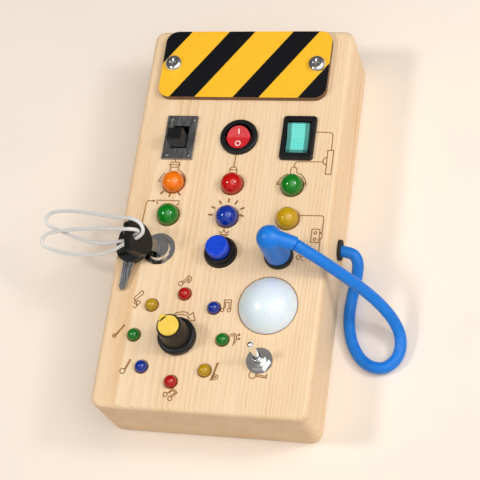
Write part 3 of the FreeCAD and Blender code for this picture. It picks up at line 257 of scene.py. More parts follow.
# Circles and filled dots of the marks in mm: middle and radius
CIRCLES = [
    (41.1, -8.7, 0.6), (41.1, -11.6, 0.6), (35.0, -20.4, 0.9), (-15.4, -34.7, 1.0), (4.9, -45.9, 0.75),
    (7.9, -45.8, 0.75), (13.9, -56.6, 0.4), (14.1, -58.4, 0.4), (6.2, -75.7, 1.1), (-14.3, -84.7, 0.9),
    (-12.0, -86.3, 0.9), (-34.9, -75.6, 1.15), (-41.3, -60.0, 0.8), (22.1, -73.8, 1.5)]
DOTS = [(-34.1, 4.1, 0.5), (6.2, -75.7, 0.5), (-41.3, -60.0, 0.4), (37.0, -21.6, 0.35)]


def linear(code):
    """An sRGB hex colour as the linear colour that shaders take."""
    parts = [int(code[i:i + 2], 16) / 255 for i in (1, 3, 5)]
    return [p / 12.92 if p <= 0.04045 else ((p + 0.055) / 1.055) ** 2.4 for p in parts] + [1.0]


def colour_of(name, description, code):
    """A colour that a user can change, from its sRGB hex value."""
    return bpy.props.FloatVectorProperty(
        name=name, description=description, subtype="COLOR", size=4, min=0, max=1, default=linear(code))


def length_of(name, description, millimetres):
    """A length that a user can change, from its value in millimetres."""
    return bpy.props.FloatProperty(
        name=name, description=description, unit="LENGTH", min=0, precision=5, default=millimetres * MM)


class BoardColours(bpy.types.PropertyGroup):
    pine: colour_of("Pine", "Pale wood between the ring lines", "#F6DAB4")
    pine_ring: colour_of("Ring line", "Tan late wood of the ring lines", "#E0B27C")
    burnt: colour_of("Burnt line", "Wood browned by the engraving laser", "#9C6830")
    stripe_yellow: colour_of("Stripe yellow", "Printed yellow of the plate", "#FFC22C")
    stripe_black: colour_of("Stripe black", "Printed blue-black of the plate", "#080A10")
    fibreboard: colour_of("Fibreboard", "Laser-cut edge of the plate and the back panel", "#7A573C")
    black_plastic: colour_of("Black plastic", "Switch bezels, knob and key heads", "#101012")
    red_plastic: colour_of("Red rocker", "Cap of the round rocker", "#D3222A")
    teal_plastic: colour_of("Green rocker", "Tinted cap of the rectangular rocker", "#74E8DC")
    blue_plastic: colour_of("Blue cap", "Cap of the push button", "#0444D6")
    yellow_plastic: colour_of("Yellow cap", "Cap and pointer of the knob", "#F7CF4F")
    blue_silicone: colour_of("Blue silicone", "Plug moulding and cord", "#0C7CE0")
    lamp_red: colour_of("Red lamp", "Red lamp plastic", "#C80502")
    lamp_orange: colour_of("Orange lamp", "Orange lamp plastic", "#FF7E08")
    lamp_green: colour_of("Green lamp", "Green lamp plastic", "#05801A")
    lamp_blue: colour_of("Blue lamp", "Blue lamp plastic", "#0A34A4")
    lamp_yellow: colour_of("Yellow lamp", "Yellow lamp plastic", "#D0A404")
    milky: colour_of("Milky dome", "Diffusing dome of the large lamp", "#F0F2FF")
    steel: colour_of("Plated steel", "Chrome on lock, toggle and screws", "#F4F5F7")
    nickel: colour_of("Dull nickel", "Slide switch plate and key blades", "#A3A4A6")
    white_cord: colour_of("White cord", "Braided key cord", "#F4F4F2")
    floor: colour_of("Floor", "Paper under the board", "#FBEFE2")


class BoardSizes(bpy.types.PropertyGroup):
    fine_line: length_of("Fine line", "Width of the thin burnt lines", 0.45)
    bold_line: length_of("Bold line", "Width of the rays and note stems", 0.85)
    scorch: length_of("Scorch ring", "Width of the browned rim round each lamp", 0.3)
    ring_gap: length_of("Ring spacing", "Distance between the pine's growth rings", 1.5)
    stripe_pitch: length_of("Stripe pitch", "One yellow and one black stripe together", 30.2)
    stripe_black: length_of("Black stripe", "Width of a black stripe, measured across the board", 12.25)
    cord: length_of("Blue cord", "Diameter of the blue cord", 5.2)
    loop: length_of("White cord", "Diameter of the key cord", 1.6)


def node(tree, kind, inputs=(), **settings):
    """Adds a node with its settings; each input is a value or the output that feeds it."""
    made = tree.nodes.new(kind)
    for name, value in settings.items():
        setattr(made, name, value)
    for key, value in dict(inputs).items():
        if isinstance(value, bpy.types.NodeSocket):
            tree.links.new(value, made.inputs[key])
        else:
            made.inputs[key].default_value = value
    return made


def shader_of(name, **sockets):
    """A new material whose shader's own sockets hold the values that are the same all over."""
    material = bpy.data.materials.new(name)
    material.use_nodes = True
    tree = material.node_tree
    shader = tree.nodes["Principled BSDF"]
    for key, value in sockets.items():
        shader.inputs[key.replace("_", " ")].default_value = value
    return material, tree, shader


def feed(shader, **outputs):
    """Feeds a shader's sockets from other nodes."""
    for key, output in outputs.items():
        shader.id_data.links.new(output, shader.inputs[key.replace("_", " ")])


def grain(tree, size, low, high, stretch=(1, 1, 1), detail=3):
    """A soft random value from low to high whose patches are that size in metres."""
    place = node(tree, "ShaderNodeTexCoord").outputs["Object"]
    spread = node(tree, "ShaderNodeMapping", {"Vector": place, "Scale": stretch}).outputs["Vector"]
    noise = node(tree, "ShaderNodeTexNoise", {"Vector": spread, "Scale": 1 / size, "Detail": detail})
    span = node(tree, "ShaderNodeMapRange", {
        "Value": noise.outputs["Fac"], "From Min": NOISE_LOW, "From Max": NOISE_HIGH,
        "To Min": low, "To Max": high})
    return span.outputs["Result"]


def shaded(tree, colour, amount):
    """A colour, plain or from a node, made darker or lighter by a value round one."""
    mix = node(tree, "ShaderNodeMix", {"Factor": 1.0}, data_type="RGBA", blend_type="MULTIPLY")
    grey = node(tree, "ShaderNodeCombineColor", {"Red": amount, "Green": amount, "Blue": amount})
    if isinstance(colour, bpy.types.NodeSocket):
        tree.links.new(colour, mix.inputs["A"])
    else:
        mix.inputs["A"].default_value = colour
    tree.links.new(grey.outputs["Color"], mix.inputs["B"])
    return mix.outputs["Result"]


def relief(tree, shader, height, depth, strength=0.5):
    """Fine unevenness of a surface, as deep as that in metres."""
    bump = node(tree, "ShaderNodeBump", {"Height": height, "Distance": depth, "Strength": strength})
    feed(shader, Normal=bump.outputs["Normal"])


def moulded(name, colour, roughness, grit, depth, tone=0.12, **sockets):
    """Moulded plastic or rubber: a fine grit from the tool, with a slightly uneven tone and shine."""
    material, tree, shader = shader_of(name, **sockets)
    feed(shader, Base_Color=shaded(tree, list(colour), grain(tree, 12 * grit, 1 - tone, 1 + tone / 2)),
         Roughness=grain(tree, 6 * grit, roughness * 0.8, roughness * 1.2))
    relief(tree, shader, grain(tree, grit, 0, 1, detail=5), depth)
    return material


def metal(name, colour, roughness, scratch, stretch, depth):
    """Plated or brushed metal: hair lines along the way it was worked, and handling marks in the shine."""
    material, tree, shader = shader_of(name, Metallic=1.0)
    feed(shader, Base_Color=shaded(tree, list(colour), grain(tree, 8 * scratch, 0.93, 1.03, stretch)),
         Roughness=grain(tree, 2 * scratch, roughness * 0.6, roughness * 1.5, stretch))
    relief(tree, shader, grain(tree, scratch, 0, 1, stretch, 6), depth, 0.35)
    return material


def lamp_plastic(name, colour):
    """Tinted acrylic lens, moulded smooth: painted shade darkens its foot and a painted highlight makes it
    paler towards its top.
    """
    material, tree, shader = shader_of(
        name, Roughness=0.05, IOR=1.49, Coat_Weight=0.4, Coat_Roughness=0.02,
        Subsurface_Weight=0.1, Subsurface_Scale=1.0 * MM)
    place = node(tree, "ShaderNodeTexCoord").outputs["Object"]
    height = node(tree, "ShaderNodeSeparateXYZ", {"Vector": place}).outputs["Z"]
    # Painted shade and painted highlight: the colour runs from darker at the lamp's foot to paler at its top
    rise = node(tree, "ShaderNodeMapRange", {
        "Value": height, "From Min": FACE, "From Max": FACE + BIG_LAMP_R * MM,
        "To Min": 0.6, "To Max": 1.0}).outputs["Result"]
    cloud = shaded(tree, list(colour), grain(tree, 2.5 * MM, 0.92, 1.05))
    feed(shader, Base_Color=shaded(tree, cloud, rise))
    relief(tree, shader, grain(tree, 1.2 * MM, 0, 1), 0.01 * MM, 0.03)
    return material


def ribbed_lens(name, colour):
    """Tinted polycarbonate cap with fine moulded ribs across it: a painted glow in its middle,
    and painted shade along its sides and ends and in bands along its ribs."""
    material, tree, shader = shader_of(name, Roughness=0.16, IOR=1.58, Coat_Weight=0.3, Coat_Roughness=0.05,
                                       Subsurface_Weight=0.2, Subsurface_Scale=1.5 * MM)
    place = node(tree, "ShaderNodeTexCoord").outputs["Object"]
    parts = node(tree, "ShaderNodeSeparateXYZ", {"Vector": place})
    spot = middle("green_rocker")
    tone = list(colour)
    # Painted glow in the middle and painted shade towards the sides and ends: the colour darkens beyond the
    # bright part's border
    for axis, half in (("X", PAINTED_GLOW_HALF_W), ("Y", PAINTED_GLOW_HALF_L)):
        off = node(tree, "ShaderNodeMath", {0: parts.outputs[axis], 1: getattr(spot, axis.lower())},
                   operation="SUBTRACT").outputs["Value"]
        away = node(tree, "ShaderNodeMath", {0: off}, operation="ABSOLUTE").outputs["Value"]
        painted_glow_band = node(tree, "ShaderNodeMapRange", {
            "Value": away, "From Min": half - PAINTED_GLOW_BORDER, "From Max": half,
            "To Min": 1.0, "To Max": 0.4}).outputs["Result"]
        tone = shaded(tree, tone, painted_glow_band)
    # Painted shade in bands: the colour is darker and lighter with each rib, besides the ribs' bump
    ribs = node(tree, "ShaderNodeTexWave", {
        "Vector": place, "Scale": WAVE_REPEAT / RIB_GAP, "Distortion": 0.3},
        wave_type="BANDS", bands_direction="Y").outputs["Fac"]
    line = node(tree, "ShaderNodeMapRange", {
        "Value": ribs, "To Min": 0.86, "To Max": 1.06}).outputs["Result"]
    feed(shader, Base_Color=shaded(tree, tone, line))
    relief(tree, shader, ribs, 0.05 * MM, 0.4)
    return material


def pine_wood(name, colours, sizes):
    """Planed and lightly sanded pine: ring lines close together at the right and broad at the left,
    short fibres that catch the light along the board, and darker ends."""
    material, tree, shader = shader_of(name, IOR=1.5)
    place = node(tree, "ShaderNodeTexCoord").outputs["Object"]
    # The tree's heart ran along the board, near its left side, so rings open out there
    heart = node(tree, "ShaderNodeMapping", {
        "Vector": place, "Location": HEART, "Scale": (1, 0.05, 1)}).outputs["Vector"]
    rings = node(tree, "ShaderNodeTexWave", {
        "Vector": heart, "Scale": WAVE_REPEAT / sizes.ring_gap, "Distortion": 5.0, "Detail": 2.5,
        "Detail Scale": 0.35, "Detail Roughness": 0.55},
        wave_type="RINGS", rings_direction="Y", wave_profile="SAW").outputs["Fac"]
    broad = grain(tree, 9 * MM, 0.1, 0.75, (1, 0.09, 1), 2)
    share = node(tree, "ShaderNodeMath", {0: rings, 1: broad}, operation="MULTIPLY").outputs["Value"]
    wood = node(tree, "ShaderNodeMix", {
        "Factor": share, "A": list(colours.pine), "B": list(colours.pine_ring)},
        data_type="RGBA").outputs["Result"]
    fibre = grain(tree, 0.45 * MM, 0.93, 1.04, (1, 0.05, 1), 4)
    along = node(tree, "ShaderNodeSeparateXYZ",
                 {"Vector": node(tree, "ShaderNodeTexCoord").outputs["Normal"]}).outputs["Y"]
    end = node(tree, "ShaderNodeMath", {0: along}, operation="ABSOLUTE").outputs["Value"]
    end_tone = node(tree, "ShaderNodeMapRange", {
        "Value": end, "From Min": 0.5, "From Max": 1.0, "To Min": 1.0, "To Max": 0.86}).outputs["Result"]
    feed(shader, Base_Color=shaded(tree, shaded(tree, wood, fibre), end_tone),
         Roughness=grain(tree, 3 * MM, 0.5, 0.66, (1, 0.2, 1)))
    relief(tree, shader, fibre, 0.05 * MM, 0.6)
    return material


def striped_print(name, colours, sizes):
    """Fibreboard with a printed matt film: leaning yellow and black stripes on top, a browned cut edge."""
    material, tree, shader = shader_of(name, IOR=1.5, Specular_IOR_Level=0.3)
    place = node(tree, "ShaderNodeTexCoord").outputs["Object"]
    parts = node(tree, "ShaderNodeSeparateXYZ", {"Vector": place})
    lean = node(tree, "ShaderNodeMath", {0: parts.outputs["Y"], 1: -STRIPE_LEAN, 2: parts.outputs["X"]},
                operation="MULTIPLY_ADD").outputs["Value"]
    start = PLATE.x - STRIPE_LEAN * PLATE.y + STRIPE_START
    along = node(tree, "ShaderNodeMath", {0: lean, 1: start}, operation="SUBTRACT").outputs["Value"]
    turns = node(tree, "ShaderNodeMath", {0: along, 1: sizes.stripe_pitch},
                 operation="DIVIDE").outputs["Value"]
    phase = node(tree, "ShaderNodeMath", {0: turns}, operation="FRACT").outputs["Value"]
    yellow = node(tree, "ShaderNodeMath", {0: phase, 1: sizes.stripe_black / sizes.stripe_pitch},
                  operation="GREATER_THAN").outputs["Value"]
    print_mix = node(tree, "ShaderNodeMix", {
        "Factor": yellow, "A": list(colours.stripe_black), "B": list(colours.stripe_yellow)},
        data_type="RGBA").outputs["Result"]
    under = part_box("striped_plate")[1].z - PRINT_DEPTH
    top = node(tree, "ShaderNodeMath", {0: parts.outputs["Z"], 1: under},
               operation="GREATER_THAN").outputs["Value"]
    core = shaded(tree, list(colours.fibreboard), grain(tree, 0.6 * MM, 0.7, 1.25))
    face = shaded(tree, print_mix, grain(tree, 5 * MM, 0.96, 1.03))
    skin = node(tree, "ShaderNodeMix", {"Factor": top, "A": core, "B": face}, data_type="RGBA")
    feed(shader, Base_Color=skin.outputs["Result"], Roughness=grain(tree, 2 * MM, 0.36, 0.5))
    relief(tree, shader, grain(tree, 0.3 * MM, 0, 1), 0.02 * MM, 0.3)
    return material


def braid(name, colour, strand):
    """Braided polyester string: small crossing strands that shade one another."""
    material, tree, shader = shader_of(
        name, Sheen_Weight=0.3, Subsurface_Weight=0.1, Subsurface_Scale=0.5 * MM)
    place = node(tree, "ShaderNodeTexCoord").outputs["Object"]
    cells = node(tree, "ShaderNodeTexVoronoi", {"Vector": place, "Scale": 1 / strand}).outputs["Distance"]
    tone = node(tree, "ShaderNodeMapRange", {"Value": cells, "From Max": 0.8, "To Min": 1.0, "To Max": 0.78})
    feed(shader, Base_Color=shaded(tree, list(colour), tone.outputs["Result"]),
         Roughness=grain(tree, 4 * strand, 0.55, 0.75))
    relief(tree, shader, cells, -0.15 * MM, 0.6)
    return material


def circuit_board(name):
    """Glass-fibre board with green solder mask: darker copper tracks show through."""
    material, tree, shader = shader_of(name, Roughness=0.35, Coat_Weight=0.3)
    place = node(tree, "ShaderNodeTexCoord").outputs["Object"]
    tracks = node(tree, "ShaderNodeTexBrick", {
        "Vector": place, "Scale": 1 / (8 * MM), "Color1": linear("#0F6B3A"), "Color2": linear("#137A44"),
        "Mortar": linear("#0A4A28"), "Mortar Size": 0.04}).outputs["Color"]
    feed(shader, Base_Color=shaded(tree, tracks, grain(tree, 1.5 * MM, 0.9, 1.05)))
    relief(tree, shader, grain(tree, 0.8 * MM, 0, 1), 0.02 * MM, 0.3)
    return material


def known(name, make, *facts, **more):
    """The material of that name, made the first time it is asked for."""
    return bpy.data.materials.get(name) or make(name, *facts, **more)


def black_plastic():
    # Black ABS, moulded with a fine matt grit: soft grey highlights on every edge
    return known("moulded_black_abs", moulded, colours().black_plastic, roughness=0.42, grit=0.35 * MM,
                 depth=0.02 * MM, tone=0.2, IOR=1.53, Specular_IOR_Level=0.35)


def chrome():
    # Bright chrome plating over turned steel: near-mirror with faint turning lines
    return known("chromed_steel", metal, colours().steel, roughness=0.08, scratch=0.5 * MM,
                 stretch=(1, 1, 5), depth=0.006 * MM)


def nickel():
    # Dull nickel on pressed sheet: brushed along its length, so it shines in soft bands
    return known("brushed_nickel", metal, colours().nickel, roughness=0.3, scratch=0.3 * MM,
                 stretch=(1, 0.12, 1), depth=0.012 * MM)


def blue_silicone():
    # Blue silicone, moulded on the plug and extruded on its lead: satin, with a faint drag along it
    return known("blue_silicone", moulded, colours().blue_silicone, roughness=0.38, grit=0.5 * MM,
                 depth=0.02 * MM, tone=0.08, IOR=1.43, Subsurface_Weight=0.15, Subsurface_Scale=2 * MM)


def colours():
    return bpy.context.scene.board_colours


def sizes():
    return bpy.context.scene.board_sizes


def dress(material, *names):
    """Gives the frame's own pieces a finish."""
    for name in names:
        piece = NODES[name]
        if not piece.material_slots:
            piece.data.materials.append(material)
        for place in piece.material_slots:
            place.material = material


def soften(name):
    """Rounds the sharp edges of one of the frame's pieces as it is drawn."""
    bevel = NODES[name].modifiers.new("edge", "BEVEL")
    bevel.width = EDGE_ROUND[name] * MM
    bevel.segments = 3
    bevel.limit_method = "ANGLE"
    bevel.angle_limit = SHARP_ANGLE


def placed(name, bm, material, body=None, smooth=False):
    """Turns built mesh into a piece, with its finish and the body it rides on."""
    mesh = bpy.data.meshes.new(name)
    bm.to_mesh(mesh)
    bm.free()
    mesh.materials.append(material)
    for face in mesh.polygons:
        face.use_smooth = smooth
    piece = bpy.data.objects.new(name, mesh)
    bpy.context.scene.collection.objects.link(piece)
    if body:
        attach(piece, body)
    return piece


def on_face(x, y):
    """A place on the board's front, a hair above the wood, from millimetres."""
    return Vector((x * MM, y * MM, FACE + MARK_LIFT * MM))


def on_rocker(x, along):
    """A place on the red rocker's tipped face, from millimetres across and along it."""
    high = (VALLEY + math.tan(ROCKER_ANGLE) * abs(along) + INK_LIFT) * MM
    y = along * MM
    return Vector((ROCKER.x + x * MM,
                   ROCKER.y + y * math.cos(ROCKER_ANGLE) - high * math.sin(ROCKER_ANGLE),
                   PIVOT_Z + y * math.sin(ROCKER_ANGLE) + high * math.cos(ROCKER_ANGLE)))


def strip(bm, line, width, place):
    """A flat strip along a line, mitred at its corners and closed where its ends meet."""
    closed = line[0] == line[-1]
    points = [Vector(point) for point in (line[:-1] if closed else line)]
    count = len(points)
    sides = []
    for i, point in enumerate(points):
        ways = []
        if closed or i:
            ways.append((point - points[i - 1]).normalized())
        if closed or i < count - 1:
            ways.append((points[(i + 1) % count] - point).normalized())
        way = sum(ways, Vector((0, 0))).normalized()
        across = Vector((-way.y, way.x))
        reach = width / 2 / max(LEAST_MITRE, across.dot(Vector((-ways[0].y, ways[0].x))))
        sides.append([bm.verts.new(place(*(point + side * reach * across))) for side in (1, -1)])
    for i in range(count if closed else count - 1):
        a, b = sides[i], sides[(i + 1) % count]
        bm.faces.new((a[1], b[1], b[0], a[0]))


def circle(x, y, radius, count=CIRCLE_SIDES):
    """A closed line round a middle."""
    turns = [2 * math.pi * i / count for i in range(count)]
    line = [(x + radius * math.cos(turn), y + radius * math.sin(turn)) for turn in turns]
    return line + line[:1]


def disc(bm, x, y, radius, place):
    """A filled dot."""
    bm.faces.new([bm.verts.new(place(*point)) for point in circle(x, y, radius)[:-1]])


def smooth_route(name, points):
    """The places along a smooth line that leaves a listed route's corners rounded."""
    curve = bpy.data.curves.new(name, "CURVE")
    curve.dimensions = "3D"
    spline = curve.splines.new("NURBS")
    spline.points.add(len(points) - 1)
    for knot, point in zip(spline.points, points):
        knot.co = (*point, 1)
    spline.order_u = 3
    spline.use_endpoint_u = True
    curve.resolution_u = 12
    holder = bpy.data.objects.new(name, curve)
    bpy.context.scene.collection.objects.link(holder)
    bpy.context.view_layer.update()
    line = bpy.data.meshes.new_from_object(holder)
    places = [vertex.co.copy() for vertex in line.vertices]
    bpy.data.objects.remove(holder)
    bpy.data.meshes.remove(line)
    return places


def tube_along(bm, places, radius, count):
    """A round tube with closed ends, whose rings turn with the line and never twist."""
    last = len(places) - 1
    across = (places[1] - places[0]).orthogonal()
    rings = []
    for i, place in enumerate(places):
        ahead = (places[min(i + 1, last)] - places[max(i - 1, 0)]).normalized()
        across = (across - ahead * across.dot(ahead)).normalized()
        aside = ahead.cross(across)
        rings.append([bm.verts.new(place + radius * (math.cos(a) * across + math.sin(a) * aside))
                      for a in (2 * math.pi * k / count for k in range(count))])
    for a, b in zip(rings, rings[1:]):
        for k in range(count):
            bm.faces.new((a[k], a[(k + 1) % count], b[(k + 1) % count], b[k]))
    bm.faces.new(reversed(rings[0]))
    bm.faces.new(rings[-1])


class BUSYBOARD_OT_stage(bpy.types.Operator):
    """Lay the pale floor, and set the soft lights and the camera"""
    bl_idname = "busyboard.stage"
    bl_label = "Floor, lights and camera"

    def execute(self, context):
        # Matt paper: warm near-white with a barely visible tooth
        paper, tree, shader = shader_of("matt_paper", Roughness=0.9)
        feed(shader, Base_Color=shaded(tree, list(colours().floor), grain(tree, 60 * MM, 0.985, 1.01)))
        bm = bmesh.new()
        bmesh.ops.create_grid(bm, x_segments=1, y_segments=1, size=FLOOR_REACH)
        bmesh.ops.translate(bm, verts=bm.verts, vec=(0, 0, -FLOOR_DROP))
        placed("paper_floor", bm, paper)
        # Plain colours, as a shop photograph shows them
        context.scene.view_settings.view_transform = "Standard"
        world = bpy.data.worlds.new("studio")
        context.scene.world = world
        world.use_nodes = True
        sky = world.node_tree
        way = node(sky, "ShaderNodeTexCoord").outputs["Generated"]
        toward = node(sky, "ShaderNodeVectorMath", {0: way, 1: BRIGHT_WAY}, operation="DOT_PRODUCT")
        rise = node(sky, "ShaderNodeMapRange", {
            "Value": toward.outputs["Value"], "From Min": 0.0, "From Max": 0.9,
            "To Min": DIM_ROOM, "To Max": BRIGHT_ROOM}).outputs["Result"]
        back = sky.nodes["Background"]
        back.inputs["Color"].default_value = linear("#FFF8F0")
        sky.links.new(rise, back.inputs["Strength"])
        for name, aim, width, power in SOFTBOXES:
            lamp = bpy.data.lights.new(name, "AREA")
            lamp.shape = "DISK"
            lamp.size = width
            lamp.energy = power
            holder = bpy.data.objects.new(name, lamp)
            holder.location = Vector(aim).normalized() * LIGHT_DISTANCE
            holder.rotation_euler = Vector(aim).to_track_quat("Z", "Y").to_euler()
            context.scene.collection.objects.link(holder)
        lens = bpy.data.cameras.new("camera")
        lens.sensor_width = FILM_WIDTH
        lens.lens = LENS
        lens.clip_start = NEAREST_SEEN
        eye = bpy.data.objects.new("camera", lens)
        eye.location = CAMERA_PLACE
        eye.rotation_euler = [math.radians(angle) for angle in CAMERA_TURN]
        context.scene.collection.objects.link(eye)
        context.scene.camera = eye
        return {"FINISHED"}


class BUSYBOARD_OT_cords(bpy.types.Operator):
    """Lay the blue plug cord and the white key cord"""
    bl_idname = "busyboard.cords"
    bl_label = "Cords"

    def execute(self, context):
        points = [(WALL + x, y, z) for x, y, z in CORD_FROM_WALL]
        points += [tuple(SOCKET + Vector(place)) for place in CORD_TO_PLUG]
        places = smooth_route("plug_cord_route", points)
        bm = bmesh.new()
        tube_along(bm, places, sizes().cord / 2, CORD_SIDES)
        plug_cord = placed("plug_cord", bm, blue_silicone(), smooth=True)
        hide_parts("blue_cord")
        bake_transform(plug_cord)
        # Braided polyester string: white, softly shaded between its strands
        string = known("braided_white_string", braid, colours().white_cord, strand=0.45 * MM)
        points = [tuple(LOCK + Vector(place)) for place in LOOP_FROM_LOCK]
        places = smooth_route("key_cord_route", points)
        bm = bmesh.new()
        tube_along(bm, places, sizes().loop / 2, LOOP_SIDES)
        key_cord = placed("key_cord", bm, string, smooth=True)
        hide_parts("key_loop")
        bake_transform(key_cord)
        # Moulded rubber bush, black and matt
        rubber = known("black_rubber", moulded, colours().black_plastic, roughness=0.6, grit=0.4 * MM,
                       depth=0.03 * MM, tone=0.2, IOR=1.52)
        dress(rubber, "cord_grommet")
        return {"FINISHED"}


class BUSYBOARD_OT_wood(bpy.types.Operator):
    """Give the block its pine, the burnt marks and the browned rims round the lamps"""
    bl_idname = "busyboard.wood"
    bl_label = "Pine block and its marks"

    def execute(self, context):
        dress(known("sanded_pine", pine_wood, colours(), sizes()), "wood_body")
        # Wood browned by a laser: dry and matt, with darker flecks where it dwelt
        burnt = known("laser_burnt_wood", moulded, colours().burnt, roughness=0.8, grit=0.3 * MM,
                      depth=0.03 * MM, tone=0.35)
        bm = bmesh.new()
        for line in FINE_LINES + [circle(*mark) for mark in CIRCLES]:
            strip(bm, line, sizes().fine_line / MM, on_face)
        for line in BOLD_LINES:
            strip(bm, line, sizes().bold_line / MM, on_face)
        for mark in DOTS:
            disc(bm, *mark, on_face)
        placed("burnt_marks", bm, burnt, "board")
        bm = bmesh.new()
        width = sizes().scorch / MM
        rims = [(name, BIG_LAMP_R if name.startswith("lamp_") else SMALL_LAMP_R, LAMP_RIM_SIDES)
                for name in NODES if name.startswith(("lamp_", "ring_lamp_")) and "circuit" not in name]
        for name, radius, count in rims + [("dome_lens", DOME_R, DOME_RIM_SIDES)]:
            spot = middle(name) / MM
            strip(bm, circle(spot.x, spot.y, radius + HOLE_GAP + width / 2, count), width, on_face)
        placed("scorched_rims", bm, burnt, "board")
        return {"FINISHED"}


class BUSYBOARD_OT_plate(bpy.types.Operator):
    """Print the striped plate and plate its two screws"""
    bl_idname = "busyboard.plate"
    bl_label = "Striped plate"

    def execute(self, context):
        dress(known("striped_fibreboard", striped_print, colours(), sizes()), "striped_plate")
        dress(chrome(), "plate_screw_1", "plate_screw_2")
        return {"FINISHED"}


class BUSYBOARD_OT_slide_switch(bpy.types.Operator):
    """Finish the slide switch's plate, case and knob"""
    bl_idname = "busyboard.slide_switch"
    bl_label = "Slide switch"

    def execute(self, context):
        dress(nickel(), "slide_plate")
        soften("slide_plate")
        dress(black_plastic(), "slide_case", "slide_knob")
        return {"FINISHED"}


class BUSYBOARD_OT_rockers(bpy.types.Operator):
    """Finish the round red rocker with its on and off marks, and the tinted green rocker"""
    bl_idname = "busyboard.rockers"
    bl_label = "Rocker switches"

    def execute(self, context):
        dress(black_plastic(), "round_rocker_case", "green_rocker_case")
        # Red ABS cap, moulded satin
        red = known("moulded_red_abs", moulded, colours().red_plastic, roughness=0.33, grit=0.4 * MM,
                    depth=0.015 * MM, IOR=1.53)
        dress(red, "round_rocker")
        # Tinted polycarbonate cap: glossy, with a painted glow in its middle and painted shade along its
        # sides and ends
        dress(known("tinted_teal_polycarbonate", ribbed_lens, colours().teal_plastic), "green_rocker")
        soften("green_rocker")
        soften("round_rocker")
        # White pad-printed ink
        ink = known("white_ink", moulded, linear("#F6E9E6"), roughness=0.5, grit=0.3 * MM,
                    depth=0.01 * MM, tone=0.05)
        bm = bmesh.new()
        strip(bm, ON_MARK, ON_WIDTH, on_rocker)
        strip(bm, circle(*OFF_MARK), OFF_WIDTH, on_rocker)
        placed("rocker_marks", bm, ink, "red_rocker_body")
        return {"FINISHED"}


class BUSYBOARD_OT_lamps(bpy.types.Operator):
    """Tint the coloured lamps, the milky dome and the circuit boards behind them"""
    bl_idname = "busyboard.lamps"
    bl_label = "Lamps"

    def execute(self, context):
        tints = {
            "red": ("lamp_red", "ring_lamp_1", "ring_lamp_5"),
            "orange": ("lamp_orange",),
            "green": ("lamp_green_upper", "lamp_green_lower", "ring_lamp_3", "ring_lamp_7"),
            "blue": ("lamp_blue", "ring_lamp_2", "ring_lamp_6"),
            "yellow": ("lamp_yellow", "ring_lamp_4", "ring_lamp_8")}
        for tint, names in tints.items():
            colour = getattr(colours(), "lamp_" + tint)
            dress(known(tint + "_acrylic", lamp_plastic, colour), *names)
        # Opal polycarbonate, moulded: it spreads light, so its shine is wide and soft
        opal = known("opal_polycarbonate", moulded, colours().milky, roughness=0.28, grit=3 * MM,
                     depth=0.01 * MM, tone=0.03, IOR=1.58, Subsurface_Weight=0.5, Subsurface_Scale=4 * MM)
        dress(opal, "dome_lens")
        dress(known("green_circuit_board", circuit_board), "ring_circuit", "lamp_circuit", "dome_circuit")
        return {"FINISHED"}


class BUSYBOARD_OT_lock(bpy.types.Operator):
    """Finish the lock, its key and the spare key"""
    bl_idname = "busyboard.lock"
    bl_label = "Lock and keys"

    def execute(self, context):
        dress(chrome(), "lock_barrel", "lock_nut", "lock_plug")
        dress(nickel(), "key_blade", "spare_key_blade")
        dress(black_plastic(), "key_head", "spare_key_head")
        soften("key_head")
        soften("spare_key_head")
        return {"FINISHED"}


class BUSYBOARD_OT_push_button(bpy.types.Operator):
    """Finish the blue push button"""
    bl_idname = "busyboard.push_button"
    bl_label = "Push button"

    def execute(self, context):
        dress(black_plastic(), "push_bezel", "push_nut")
        # Blue ABS cap, moulded satin
        blue = known("moulded_blue_abs", moulded, colours().blue_plastic, roughness=0.3, grit=0.4 * MM,
                     depth=0.015 * MM, IOR=1.53)
        dress(blue, "push_cap")
        return {"FINISHED"}


class BUSYBOARD_OT_plug(bpy.types.Operator):
    """Mould the plug's boot over the cord's end and finish the socket"""
    bl_idname = "busyboard.plug"
    bl_label = "Plug and socket"

    def execute(self, context):
        dress(black_plastic(), "socket_barrel")
        dress(nickel(), "socket_nut")
        # Turned brass pin: yellow, with fine rings round it
        brass = known("turned_brass", metal, linear("#C9A24A"), roughness=0.22, scratch=0.3 * MM,
                      stretch=(1, 1, 4), depth=0.006 * MM)
        dress(brass, "plug_pin")
        boot = bpy.data.objects.new("plug_moulding", NODES["plug_boot"].data.copy())
        context.scene.collection.objects.link(boot)
        skin = boot.modifiers.new("skin", "REMESH")
        skin.mode = "VOXEL"
        skin.voxel_size = BOOT_VOXEL
        blend = boot.modifiers.new("blend", "SMOOTH")
        blend.factor = 0.5
        blend.iterations = BOOT_SMOOTHING
        bpy.context.view_layer.update()
        shape = bpy.data.meshes.new_from_object(boot.evaluated_get(context.evaluated_depsgraph_get()))
        boot.modifiers.clear()
        boot.data = shape
        shape.materials.clear()
        shape.materials.append(blue_silicone())
        for face in shape.polygons:
            face.use_smooth = True
        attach(boot, "plug")
        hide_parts("plug_boot")
        return {"FINISHED"}


class BUSYBOARD_OT_toggle(bpy.types.Operator):
    """Finish the toggle switch"""
    bl_idname = "busyboard.toggle"
    bl_label = "Toggle switch"

    def execute(self, context):
        dress(chrome(), "toggle_nut", "toggle_lever", "toggle_case")
        soften("toggle_nut")
        return {"FINISHED"}


